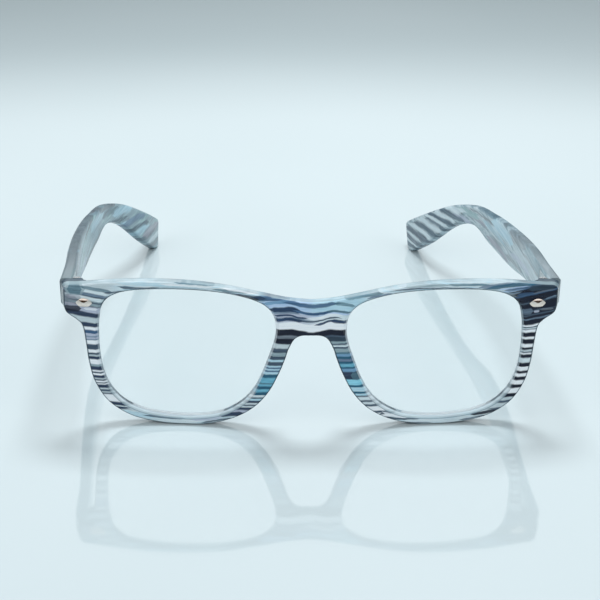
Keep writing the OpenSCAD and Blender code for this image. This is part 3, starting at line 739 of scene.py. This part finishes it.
# Streaks laid over the layers: colour, half width and strength, then the middle line's points,
# each by its place along the streak and its height
FRONT_STREAKS = [
    # Right end piece
    ("grey", 3.2, 0.5, -73, 41.2, -69.6, 41), ("mist", 1.7, 0.8, -71.2, 42.9, -64.8, 43.2),
    ("teal", 1.5, 0.8, -70.4, 42.9, -65.8, 43.1), ("teal", 0.55, 0.8, -67, 44, -56.5, 42.5),
    ("mist", 0.5, 0.5, -71, 45.4, -64, 45.6), ("slate", 0.35, 0.9, -60, 42.2, -52, 42.9),
    ("slate", 0.45, 0.9, -56, 44.5, -50, 44, -43, 44.4),
    ("grey", 0.9, 0.7, -71.8, 40.4, -67.2, 39.8), ("mauve", 0.6, 0.6, -71, 41, -66, 40.5),
    ("char", 0.95, 0.9, -72, 37.1, -66.2, 36.9), ("mauve", 0.35, 0.7, -71.6, 38.5, -67, 38.4),
    ("white", 0.4, 0.6, -66, 37.1, -61.4, 36.9),
    # Brow over the right lens
    ("mist", 0.5, 0.35, -47, 44.6, -38, 44.5, -29, 44.2),
    ("teal", 0.22, 0.8, -40, 46.1, -34, 45.8, -25, 45.3),
    ("white", 0.3, 0.7, -44, 45.6, -28, 44.9), ("teal", 0.4, 0.8, -29, 44.3, -23, 44, -17, 43.5),
    ("slate", 0.25, 0.7, -26, 43.8, -23, 43.3, -19, 42.5),
    ("white", 0.5, 0.7, -26, 44.9, -19, 43.9, -13, 42.9),
    ("blue", 0.8, 0.95, -18.5, 41.6, -12.8, 41.7, -5.5, 41.1),
    ("navy", 0.55, 0.8, -22.5, 43, -18, 42.3, -12.5, 41.6),
    # Painted shade: a dark streak along the top of the lens opening beside the nose, where the
    # bevel lies in shade
    ("char", 0.5, 0.9, -21.5, 42.5, -18, 41.8, -14.4, 40.9),
    ("mist", 0.35, 0.6, -12.5, 42.3, -9.5, 42, -6, 41.4),
    ("sky", 0.25, 0.8, -14.5, 40.7, -8, 40.9),
    # Bridge
    ("azure", 0.5, 0.9, -15.5, 39.9, -12, 40.3, -9, 40.6, -6, 40.5, -3.5, 39.9, -1, 39.5),
    ("blue", 0.6, 0.9, -9, 40.7, -6, 40.5, -3, 39.8, 0, 39.4, 4, 39.8, 7, 40.3, 9, 40.1),
    ("teal", 0.5, 0.8, 6, 40.2, 8, 40.2, 10.5, 39.8, 13, 39.2),
    ("indigo", 0.85, 1, -13, 38.2, -9.5, 38.2, -6.3, 38.4, -4, 37.8, -2, 37.3),
    ("blue", 0.45, 1, -6, 38.4, -3, 37.5, 0, 36.9, 3, 37.1, 5.5, 37.8, 8, 37.8),
    ("teal", 0.35, 0.9, 4, 37.6, 6.5, 37.9, 9, 37.6, 12.5, 37),
    ("dusk", 0.3, 0.8, -12, 37.2, -9, 37.2, -6.5, 37.4, -3, 36.5),
    ("indigo", 0.28, 0.95, -12, 36.2, -9, 36.4, -6.7, 36.6, -3.5, 35.8, -0.2, 35.5),
    ("indigo", 0.5, 1, -12, 34.7, -9, 35, -6.5, 35.4, -4, 34.9, -1.5, 34.5),
    ("slate", 0.25, 0.95, -5, 35, -2, 34.6, 0.5, 34.5, 3, 35, 6.3, 35.8, 9.6, 35.1),
    ("indigo", 0.35, 0.95, 0.3, 33.3, 3, 33.9, 6, 34.8, 8.5, 34.5, 10.6, 33.9),
    ("indigo", 0.55, 0.9, 5, 34.8, 8.5, 34.5, 12.5, 33.8),
    ("white", 0.45, 0.6, -2, 35.7, 2, 35.6, 5.5, 36.7, 9.5, 36.4),
    # Brow over the left lens
    ("teal", 0.7, 0.75, 8, 41.7, 12, 42.3, 16.5, 43, 21, 43.3),
    ("steel", 0.4, 0.9, 15.5, 41.6, 19, 42.4, 23.5, 43.1),
    ("slate", 0.25, 0.9, 21, 43.3, 30, 44.6, 38, 44.5, 50, 44),
    ("white", 0.35, 0.7, 15, 43.9, 24, 45.2, 33, 45.9),
    ("mist", 0.45, 0.7, 26, 45, 33, 45.5, 40, 45.4),
    ("teal", 0.35, 0.75, 38, 45.6, 45, 45.4, 52, 45.1),
    ("blue", 0.45, 0.7, 47, 44.2, 53, 44.9, 59, 45.3),
    # Left end piece
    ("deep", 0.55, 0.9, 48, 43.6, 55, 44.5, 62, 45, 70, 45),
    ("pale", 0.5, 0.8, 55, 46.2, 62, 46.2, 70, 45.6),
    ("sky", 0.22, 0.9, 53, 43.5, 58, 43.9, 63.5, 44.5),
    ("sky", 0.2, 0.9, 54.5, 42.7, 58, 43.1, 62, 43.6), ("dusk", 0.22, 0.8, 55.5, 41.9, 61, 42.7),
    ("blue", 0.45, 0.7, 55, 43.2, 60, 43.6, 65, 44.1),
    ("ink", 0.9, 0.9, 62, 43.4, 67, 43.8, 71.5, 43.8),
    ("blue", 0.45, 0.6, 59, 41.5, 62.5, 41.9, 65, 42),
    ("grey", 0.25, 0.5, 63.5, 41.9, 67, 42.5, 71, 43.1), ("dusk", 0.25, 0.8, 67.5, 40, 71.6, 41.2),
    ("lavender", 0.4, 0.8, 64.6, 36.1, 66.4, 36.3), ("dusk", 0.9, 0.6, 60.8, 36.1, 64.6, 36.3),
    ("char", 0.7, 0.9, 65.8, 37.6, 72, 38.4), ("grey", 0.35, 0.6, 66.3, 36.7, 70.8, 37),
    # Under the lenses and beside the nose
    ("ice", 0.7, 0.7, -56, 4.3, -52, 3.1, -46, 2.2),
    ("slate", 0.3, 0.85, -50.5, 2.9, -44, 2.3, -36.5, 1.9),
    ("mauve", 0.4, 0.6, -50, 3.8, -42, 3, -33, 2.9),
    ("frost", 0.5, 0.8, -46, 1.3, -38, 1.2, -31, 1.6),
    ("slate", 0.3, 0.85, -33, 0.8, -27.5, 1.8, -22.5, 2.9),
    ("lavender", 0.5, 0.8, -36, 1.9, -30, 2.3, -25.5, 3.3),
    ("navy", 0.65, 0.95, -27.5, 3.3, -24, 3.9, -19.5, 4.3),
    ("teal", 1.1, 0.8, 11.6, 17.1, 15.5, 16.6), ("slate", 0.3, 0.9, 20, 3.7, 22, 4.2, 26, 4.3),
    ("white", 0.5, 0.8, 21, 4.9, 25, 3.4, 30, 2.9), ("slate", 0.3, 0.95, 22, 2.6, 27, 2.2, 33, 2),
    ("slate", 0.2, 0.85, 26, 1.2, 31, 0.9, 37, 0.7),
    ("frost", 0.45, 0.8, 27, 1.7, 34, 1.4, 42, 1.3),
    ("mauve", 0.35, 0.5, 31, 2.9, 39, 2.6, 46, 2.9),
    ("char", 0.5, 0.95, 47.5, 3, 51, 3.3, 56.5, 4.2),
    ("slate", 0.25, 0.8, 44, 1.2, 49, 1.9, 53, 2.7),
]

# The temples' streaks are given by depth and height, and drop towards the tips
TEMPLE_RIGHT_STREAKS = [
    ("ash", 1.8, 0.6, 6, 42.6, 18, 42.6, 34, 42.2), ("mauve", 1.6, 0.5, 8, 40, 30, 40.2, 48, 38.5),
    ("ash", 1.4, 0.7, 30, 43.4, 52, 40.6, 78, 36.6, 90, 34.6),
    ("lavender", 1.6, 0.5, 30, 34, 46, 31, 62, 28.6),
    ("sage", 1.8, 0.4, 48, 36.5, 64, 33.5, 80, 31.5),
    ("ash", 1, 0.75, 52, 29.4, 66, 27, 84, 25.8, 96, 27.6),
    ("ice", 1.6, 0.5, 72, 33, 84, 32.2, 97, 30.6),
    ("ash", 0.8, 0.7, 90, 33.4, 100, 31.4, 112, 29.2),
    ("storm", 1.1, 0.7, 93, 29.6, 102, 29, 113, 26.6),
    ("ice", 1.5, 0.65, 104, 26.6, 113, 25.4, 124, 22.8),
    ("storm", 0.7, 0.75, 98, 26.6, 108, 23.4, 118, 21.6),
    ("ice", 0.6, 0.7, 108, 21.8, 116, 19.6, 124, 19.2),
    ("steel", 1.1, 0.75, 111, 19.6, 122, 18.8, 134, 16.4),
    ("storm", 0.8, 0.8, 112, 15.6, 122, 15.4, 136, 12.4),
    ("ice", 1.2, 0.65, 116, 12.8, 124, 13, 134, 11.6),
    ("storm", 0.8, 0.75, 119, 10.2, 128, 9.2, 140, 7.6),
    ("mauve", 1.4, 0.7, 124, 10.6, 134, 9.6, 146, 8.6),
    ("frost", 0.8, 0.7, 128, 6.4, 138, 5.4, 146, 4.6),
    ("ash", 0.9, 0.75, 128, 4.6, 136, 3.4, 144, 3),
]
TEMPLE_LEFT_STREAKS = [
    ("mist", 1.6, 0.7, 8, 42.2, 24, 42, 44, 39.6), ("ash", 0.5, 0.6, 14, 40.4, 30, 39.4, 48, 37.6),
    ("pale", 2, 0.6, 18, 37.6, 38, 36.2, 56, 33.6),
    ("lavender", 1, 0.6, 30, 35.6, 46, 34, 60, 30.4),
    ("ash", 1.6, 0.6, 38, 41.4, 54, 38.4, 66, 35.6), ("ash", 0.6, 0.6, 40, 32, 52, 30.6, 66, 28.8),
    ("ice", 1.8, 0.7, 54, 35.8, 70, 34.8, 84, 33.2),
    ("ice", 0.9, 0.5, 64, 31.4, 76, 31.2, 92, 30.4),
    ("mauve", 1, 0.8, 58, 27.8, 74, 27.4, 88, 26.4),
    ("teal", 0.9, 0.6, 78, 35.4, 89, 34.6, 101, 32.8),
    ("ash", 0.4, 0.6, 78, 33, 90, 31.8, 104, 30.4),
    ("mauve", 0.5, 0.7, 86, 29.6, 96, 28.8, 104, 27.2),
    ("sage", 1, 0.8, 94, 29.6, 102, 28.8, 112, 27.2),
    ("lavender", 0.9, 0.7, 100, 25.6, 106, 25.4, 114, 24.4),
    ("frost", 1, 0.9, 104, 28.4, 112, 26.4, 122, 24.6),
    ("storm", 0.9, 0.9, 104, 24.6, 112, 24, 124, 22.6),
    ("frost", 0.7, 0.85, 108, 22.2, 116, 21.9, 127, 20.4),
    ("storm", 1, 0.95, 109, 20.6, 119, 20, 130, 18.4),
    ("frost", 0.6, 0.85, 112, 18.9, 121, 18.6, 131, 17),
    ("storm", 0.8, 0.9, 112, 17.4, 121, 17, 130, 16.2),
    ("frost", 1.2, 0.85, 115, 15.6, 124, 15.4, 136, 13.8),
    ("storm", 1.2, 0.95, 117, 12.8, 126, 13.2, 139, 11.2),
    ("frost", 0.9, 0.85, 120, 10.8, 130, 11, 143, 9.4),
    ("slate", 1.1, 0.8, 121, 9.4, 131, 8.6, 146, 7.2),
    ("frost", 0.5, 0.8, 126, 7.4, 134, 6.6, 144, 6),
    ("slate", 1, 0.7, 125, 6.2, 134, 5.2, 146, 4.6),
    ("frost", 0.4, 0.8, 130, 4.2, 138, 3.8, 144, 3.6),
    ("storm", 0.7, 0.9, 130, 3.2, 138, 2.4, 144, 2),
]

LAYERS_IN_RAMP = 15


def layered(net, height, layers, soft=0.2):
    """Colour of a stack of layers at a height, by ramps of some layers each, joined end to end."""
    result = None
    layers = list(layers.items())
    for start in range(0, len(layers), LAYERS_IN_RAMP):
        group = layers[start:start + LAYERS_IN_RAMP]
        top = layers[start - 1][0] if start else group[0][0] + 4
        low = group[-1][0]
        size = top - low
        stops, edge = [], top
        for end, name in group:
            turn = min(soft, (edge - end) * 0.4)
            stops += [((place - low) / size, name) for place in (edge - turn, end + turn)]
            edge = end
        stops = sorted((min(1, max(0, place)), linear(name)) for place, name in stops)
        here = net.ramp(net.span(height, low, top, kind="LINEAR"), stops)
        if result is None:
            result = here
        else:
            result = net.mix(net.math("LESS_THAN", height, top), result, here)
    return result


def streaked(net, under, along, height, streaks, soft=0.35):
    """Lays tapering streaks over a colour, each along its own smooth line."""
    for name, half, strength, *flat in streaks:
        points = list(zip(flat[::2], flat[1::2]))
        start, end = points[0][0], points[-1][0]
        share = net.span(along, start, end, kind="LINEAR")
        if len(points) == 2:
            middle = net.math("MULTIPLY_ADD", share, points[1][1] - points[0][1], points[0][1])
        else:
            middle = net.bent(share, [((a - start) / (end - start), h) for a, h in points])
        width = net.span(net.math("PINGPONG", share, 0.5), 0, 0.22, 0.001, half)
        off = net.math("ABSOLUTE", net.minus(height, middle))
        cover = net.span(net.math("DIVIDE", off, width), 1 - soft, 1 + soft, strength, 0)
        under = net.mix(cover, under, name)
    return under


def local_parts(net):
    """The object's own coordinates in millimetres, in the source's front frame."""
    where = net.node("TexCoord").outputs
    local = net.mapped(where["Object"], (-SIDE_SHIFT, -DEPTH_SHIFT, 0), (1 / MM,) * 3)
    normal = net.node("SeparateXYZ", {0: where["Normal"]}).outputs
    return local, net.node("SeparateXYZ", {0: local}).outputs, normal


def front_stripes(net, local, x, z, out):
    """The stripes over the front's face: out is the distance from its middle."""
    # Waves in the layers, long across the face and short up it
    wave = net.noise(local, (0.09, 0, 0.16), 2, (7, 0, 3))
    ripple = net.noise(local, (0.35, 0, 0.5), 3, (2, 0, 9))
    height = net.plus(net.plus(z, net.sway(wave, 0.8)), net.sway(ripple, 0.5))
    drawn = net.plus(z, net.sway(ripple, 0.6))
    # The layers rise outwards on the end pieces
    rise = net.times(net.minus(out, 61.5), net.span(z, 29, 37, 0.05, 0.19))
    on_right = net.math("LESS_THAN", x, 0)
    shift = net.math("MULTIPLY_ADD", on_right, net.span(z, 10, 32, -0.2, 0.55), 0.35)
    ends = net.plus(net.minus(height, rise), shift)
    end_colour = net.mix(
        net.math("GREATER_THAN", x, 0), layered(net, ends, END_RIGHT), layered(net, ends, END_LEFT)
    )
    # They sag in the middle of the bridge, and again towards the nose's sides
    sag = net.plus(net.span(out, 6, 0), net.span(out, 6, 16, kind="LINEAR"))
    middle = net.plus(height, net.times(sag, net.span(z, 27, 31)))
    nose_colour = net.mix(
        net.span(net.plus(x, net.times(ripple, 8)), 1, 7),
        layered(net, middle, NOSE_RIGHT), layered(net, middle, NOSE_LEFT),
    )
    stripes = net.mix(net.math("GREATER_THAN", out, 36), nose_colour, end_colour)
    # Along the brow and under the lens the layers run out into long pale streaks
    streak = net.noise(local, (0.05, 0, 1.1), 4, (1, 0, 5), 0.6)
    run_colour = net.ramp(
        streak, [(0.3, "mist"), (0.4, "pale"), (0.5, "frost"), (0.58, "ice"), (0.7, "frost")]
    )
    run_colour = net.mix(net.span(z, 10, 6, 0, 0.55), run_colour, "pale")
    ragged = net.plus(out, net.sway(streak, 16))
    begun, full, thinned, over = (
        net.span(z, 20, 30, *low_high) for low_high in ((23, 14), (25, 17), (51, 54), (55, 60))
    )
    long_run = net.times(net.span(ragged, begun, full), net.span(ragged, over, thinned))
    stripes = net.mix(long_run, stripes, run_colour)
    stripes = streaked(net, stripes, x, drawn, FRONT_STREAKS)
    # Fine grain within the stripes, drawn out along them
    grain = net.noise(local, (0.16, 0, 2.4), 3, (4, 0, 1), 0.6)
    return net.grained(0.55, stripes, grain, 0.22)


def front_edges(net, local, stripes, depth, inner, out, z, nz):
    """Colour of the outer edge, and of the lens bevel on the inner side, with their painted
    highlight and painted shade.
    """
    # A rounded edge carries the stripes on, darker as painted shade; its top takes a pale tone as a
    # painted highlight, with a dark rear line of painted shade
    darker = net.mix(1.0, stripes, (150, 166, 176), "MULTIPLY")
    painted_shade_side = net.mix(0.6, darker, (46, 62, 72))
    cloud = net.noise(local, (0.12, 0.4, 0.12), 3)
    painted_top_tone = net.ramp(cloud, [(0.3, "ash"), (0.5, "mist"), (0.72, "pale")])
    painted_top_tone = net.mix(net.span(out, 60, 69, 0, 0.8), painted_top_tone, (126, 150, 158))
    rear_shade_line = net.times(net.span(depth, RIM_T - 0.62, RIM_T - 0.5), 0.85)
    painted_top_highlight = net.mix(rear_shade_line, net.mix(0.3, painted_top_tone, stripes), "ink")
    outer_edge = net.mix(net.span(nz, 0.25, 0.5), painted_shade_side, painted_top_highlight)
    # The bevel's light and shade are painted: grey to pale across it between two dark lines of
    # painted shade, with a white painted highlight beside the nose and painted shade under the brow
    away = net.math("MAXIMUM", net.span(out, 24, 46), net.span(z, 12, 6))
    painted_grey_bevel = net.mix(net.span(depth, 0.1, 0.8), "mist", "frost")
    bevel = net.mix(away, "white", painted_grey_bevel)
    bevel = net.mix(net.span(z, 8, 14, 0.25, 0.6), bevel, stripes)
    lines = net.math("MAXIMUM", net.span(depth, 0.3, 0.12), net.span(depth, 0.72, 0.9))
    bevel = net.mix(net.times(lines, 0.45), bevel, "slate")
    bevel = net.mix(net.span(z, 36, 39), bevel, painted_shade_side)
    return net.mix(inner, outer_edge, bevel)


def front_material():
    mat, net = material("laminate_front")
    local, (x, y, z), (nx, ny, nz) = local_parts(net)
    out = net.math("ABSOLUTE", x)
    stripes = front_stripes(net, local, x, z, out)
    # Depth behind the face, and whether the surface faces the middle of its lens
    depth = net.minus(y, net.times(net.times(x, x), 1 / (2 * FACE_R)))
    outward = net.times(nx, net.math("SIGN", x))
    facing = net.plus(
        net.times(outward, net.minus(out, LENS_X)), net.times(nz, net.minus(z, LENS_Z))
    )
    inner = net.times(net.math("LESS_THAN", facing, 0), net.math("GREATER_THAN", out, 8))
    edge = front_edges(net, local, stripes, depth, inner, out, z, nz)
    # The stripes run on over the rounding of the top edge and of the lens's sides
    carried = net.math(
        "MAXIMUM", net.times(inner, net.span(z, 8, 14)),
        net.times(net.minus(1, inner), net.span(nz, 0.05, 0.2)),
    )
    turned_away = net.times(net.span(ny, -0.985, -0.86), net.span(ny, 0.5, 0.3))
    turned_away = net.times(turned_away, net.minus(1, carried))
    behind = net.minus(depth, net.math("MULTIPLY_ADD", carried, 0.36, 0.06))
    rounded = net.math("MAXIMUM", net.span(behind, 0, 0.14), turned_away)
    # Where the face rounds away it takes the edge and bevel colours, with their painted shade and
    # highlight
    final = net.mix(rounded, stripes, edge)
    # The back of the front shows the same layers through a paler skin
    final = net.mix(net.span(ny, 0.4, 0.8), final, net.mix(0.35, stripes, "frost"))
    fine = net.noise(local, (1.5, 1.5, 3), 3)
    bump = net.value("Bump", {
        "Strength": 0.04, "Distance": 0.0002,
        "Height": net.noise(local, (0.4,) * 3, 2),
    })
    net.surface(net.principled({
        "Base Color": final, "Roughness": net.span(fine, 0.2, 0.8, 0.12, 0.22), "IOR": 1.49,
        "Specular IOR Level": 0.28, "Normal": bump,
    }))
    return mat


def temple_material(name, tones, streaks, seed):
    mat, net = material(name)
    local, (_, y, z), (nx, _, _) = local_parts(net)
    slope = (math.radians(-12), 0, 0)
    streak = net.noise(local, (0.2, 0.03, 0.42), 4, (seed, 0, 0), 0.6, 0.4, slope)
    ripple = net.noise(local, (0.15, 0.12, 0.3), 3, (0, seed, 0))
    along, height = net.plus(y, net.sway(streak, 8)), net.plus(z, net.sway(ripple, 1.6))
    layers = streaked(net, net.ramp(streak, tones), along, height, streaks, 0.5)
    grain = net.noise(local, (0.3, 0.06, 1.6), 4, (0, 0, seed), 0.65, turn=slope)
    layers = net.grained(0.6, layers, grain, 0.2)
    # The edges that face up and down are a little darker, and darker still near the hinge
    darker = net.mix(1.0, layers, (216, 222, 226), "MULTIPLY")
    ridge = net.mix(net.span(y, 70, 25, 0, 0.7), darker, (116, 128, 134))
    final = net.mix(net.span(net.math("ABSOLUTE", nx), 0.85, 0.35), layers, ridge)
    fine = net.noise(local, (1.5, 0.8, 3), 3)
    net.surface(net.principled({
        "Base Color": final, "Roughness": net.span(fine, 0.2, 0.8, 0.16, 0.28), "IOR": 1.49,
        "Specular IOR Level": 0.4,
    }))
    return mat


def noisy(name, scale, detail):
    """A new material with its net and a noise over the object's own coordinates."""
    mat, net = material(name)
    where = net.node("TexCoord").outputs["Object"]
    return mat, net, net.noise(where, scale, detail)


def lens_material():
    mat, net, smear = noisy("lens_clear", (40,) * 3, 2)
    glass = net.principled({
        "Base Color": net.ramp(smear, [(0.3, (0.955, 0.98, 0.985)), (0.7, (0.985, 0.995, 1.0))]),
        "Roughness": 0.0, "IOR": 1.5, "Transmission Weight": 1.0,
    })
    # The lamps' light passes as through nothing, and is counted once
    clear = net.node("BsdfTransparent", {"Color": (0.95, 0.97, 0.98, 1)})
    path = net.node("LightPath").outputs
    for ray in ("Is Diffuse Ray", "Is Shadow Ray"):
        glass = net.node("MixShader", {0: path[ray], 1: glass.outputs[0], 2: clear.outputs[0]})
    net.surface(glass)
    return mat


def metal_material(name, low, high, rough, stretch):
    mat, net, grain = noisy(name, tuple(s / MM for s in stretch), 3)
    net.surface(net.principled({
        "Base Color": net.ramp(grain, [(0.3, low), (0.7, high)]), "Metallic": 1.0,
        "Roughness": net.span(grain, 0.3, 0.7, *rough),
    }))
    return mat


def clouded_material(name, scale, low, high, rough, ior):
    """A surface whose colour follows a cloud of noise, and its roughness too where it has two."""
    mat, net, cloud = noisy(name, (scale,) * 3, 2)
    if isinstance(rough, tuple):
        rough = net.span(cloud, 0.3, 0.7, *rough)
    net.surface(net.principled({
        "Base Color": net.ramp(cloud, [(0.3, low), (0.7, high)]),
        "Roughness": rough, "IOR": ior,
    }))
    return mat


def use(obj, mat):
    obj.data.materials.clear()
    obj.data.materials.append(mat)


use(front, front_material())
for side, tones, streaks, seed in (
    ("right", ("ash", "mist", "mist", "sage", "ash"), TEMPLE_RIGHT_STREAKS, 2),
    ("left", ("ash", "mist", "pale", "mist", "ash"), TEMPLE_LEFT_STREAKS, 5),
):
    tones = list(zip((0.3, 0.42, 0.5, 0.58, 0.7), tones))
    use(temples[side], temple_material(f"laminate_temple_{side}", tones, streaks, seed))
pad_mat = clouded_material("pad_clear", 300, (196, 212, 220), (222, 232, 238), (0.12, 0.2), 1.49)
for pad in pads.values():
    use(pad, pad_mat)

NICKEL, STEEL = ((0.4, 0.43, 0.44), (0.6, 0.63, 0.64)), ((0.45, 0.45, 0.46), (0.68, 0.68, 0.68))
WIRE, ROSE = ((0.45, 0.46, 0.46), (0.66, 0.66, 0.65)), ((0.9, 0.76, 0.66), (0.97, 0.88, 0.82))
for mat, nodes in (
    (metal_material("hinge_nickel", *NICKEL, (0.24, 0.4), (1, 1, 6)),
     ("front_hinge_leaf", "temple_hinge_leaf", "temple_leaf_pins")),
    (metal_material("screw_steel", *STEEL, (0.2, 0.34), (3, 3, 1)), ("hinge_screw",)),
    (metal_material("core_wire", *WIRE, (0.25, 0.4), (2, 0.2, 2)), ("temple_core",)),
    (metal_material("rivet_rose", *ROSE, (0.08, 0.16), (1, 1, 1)), ("rivet",)),
    (lens_material(), ("lens",)),
):
    for node in nodes:
        for side in ("right", "left"):
            for slot in frame["nodes"][f"{node}_{side}"].material_slots:
                slot.material = mat

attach(front, "frame_front")
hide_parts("front")
for side, obj in temples.items():
    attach(obj, f"{side}_temple")
    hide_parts(f"temple_{side}")
for side, obj in pads.items():
    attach(obj, "frame_front")
    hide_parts(f"nose_pad_{side}")

# Floor

FLOOR_REACH = 4.0
floor_mesh = bpy.data.meshes.new("floor")
floor_mesh.from_pydata(
    [(x * FLOOR_REACH, y * FLOOR_REACH, 0) for x, y in ((-1, -1), (1, -1), (1, 1), (-1, 1))],
    [], [(0, 1, 2, 3)],
)
floor = linked("floor", floor_mesh)
floor_mesh.materials.append(
    clouded_material("pale_floor", 3, (182, 197, 202), (189, 203, 208), 0.05, 1.8)
)

# Light: a dim sky with pale sides and a dark band above the horizon. A bright screen behind the
# glasses shows in the floor, and another one high in front. Under that it is dark, which the
# rivets show as a dark slit. Three soft lamps light the scene and aren't mirrored in it.

SIDE_GREY, GAP_BROWN, FRONT_WHITE = (0.46, 0.5, 0.52), (0.045, 0.03, 0.022), (0.94, 0.94, 0.93)
REAR_LOW, REAR_HIGH = (0.86, 0.92, 0.94), (1.1, 1.17, 1.2)
world = bpy.data.worlds.new("studio")
bpy.context.scene.world = world
world.use_nodes = True
net = Net(world.node_tree)
direction = net.node("TexCoord").outputs["Generated"]
to_side, to_back, up = net.node("SeparateXYZ", {0: direction}).outputs
sky = net.ramp(net.span(up, -1, 1, kind="LINEAR"), [
    (0.0, (0.5, 0.56, 0.58)), (0.49, (0.45, 0.5, 0.52)), (0.505, (0.05, 0.04, 0.04)),
    (0.64, (0.05, 0.05, 0.05)), (0.7, (0.22, 0.24, 0.25)), (1.0, (0.28, 0.3, 0.31)),
])
# 0 straight behind the glasses, pi straight in front of them
turned_off = net.math("ABSOLUTE", net.math("ARCTAN2", to_side, to_back))
sides = net.times(net.span(turned_off, 0.8, 1.2), net.span(turned_off, 2.1, 1.7))
sides = net.times(sides, net.math("GREATER_THAN", up, 0))
sky = net.mix(sides, sky, SIDE_GREY)
gap = net.times(net.span(turned_off, 1.5, 1.8), net.math("COMPARE", up, 0.26, 0.25))
sky = net.mix(gap, sky, GAP_BROWN)
rear_screen = net.times(net.span(up, 0.235, 0.3), net.span(up, 0.8, 0.7))
rear_screen = net.times(rear_screen, net.span(turned_off, 1.15, 0.7))
rear_light = net.mix(net.span(up, 0.25, 0.5), REAR_LOW, REAR_HIGH)
above_gap = net.minus(up, net.span(turned_off, 1.6, 2.2, 0.28, 0.46))
front_screen = net.times(net.span(above_gap, 0, 0.06), net.span(up, 0.94, 0.86))
front_screen = net.times(front_screen, net.span(turned_off, 1.4, 2.0))
light = net.mix(rear_screen, sky, rear_light)
light = net.mix(front_screen, light, FRONT_WHITE)
glow = net.node("Background", {"Color": light, "Strength": 1.0})
net.node("OutputWorld", {"Surface": glow.outputs[0]})


def lamp(name, place, aim, size, power):
    data = bpy.data.lights.new(name, "AREA")
    data.shape, data.size, data.size_y = "RECTANGLE", *size
    data.energy = power
    obj = linked(name, data)
    obj.visible_glossy = obj.visible_transmission = False
    obj.location = place
    obj.rotation_euler = (Vector(aim) - Vector(place)).to_track_quat("-Z", "Y").to_euler()


lamp("key", (0.03, 0.27, 0.72), (0, -0.02, 0), (0.3, 0.2), 4.3)
lamp("fill_right", (-0.8, -0.72, 0.42), (0, -0.07, 0.02), (1.0, 0.7), 4.2)
lamp("fill_left", (0.8, -0.72, 0.42), (0, -0.07, 0.02), (1.0, 0.7), 4.0)

# Camera, fitted to the rivets, rims, bends and tips of the photograph

CAM_PLACE, CAM_LENS, CAM_SENSOR = (-10.96, -363.98, 207.29), 84.0, 36.0
PITCH, YAW, ROLL = (math.radians(a) for a in (24.494, -1.195, -0.522))
across = Vector((math.cos(YAW), math.sin(YAW), 0))
ahead = Vector((
    -math.sin(YAW) * math.cos(PITCH), math.cos(YAW) * math.cos(PITCH), -math.sin(PITCH),
))
upward = across.cross(ahead)
cam_x = across * math.cos(ROLL) - upward * math.sin(ROLL)
cam_y = across * math.sin(ROLL) + upward * math.cos(ROLL)
cam_data = bpy.data.cameras.new("camera")
cam_data.sensor_width, cam_data.lens = CAM_SENSOR, CAM_LENS
cam_data.clip_start, cam_data.clip_end = 0.01, 50.0
camera = linked("camera", cam_data)
camera.matrix_world = Matrix.Translation(Vector(placed([CAM_PLACE])[0]) * MM) @ Matrix(
    (cam_x, cam_y, -ahead)
).transposed().to_4x4()
bpy.context.scene.camera = camera
bpy.context.scene.view_settings.view_transform = "Standard"
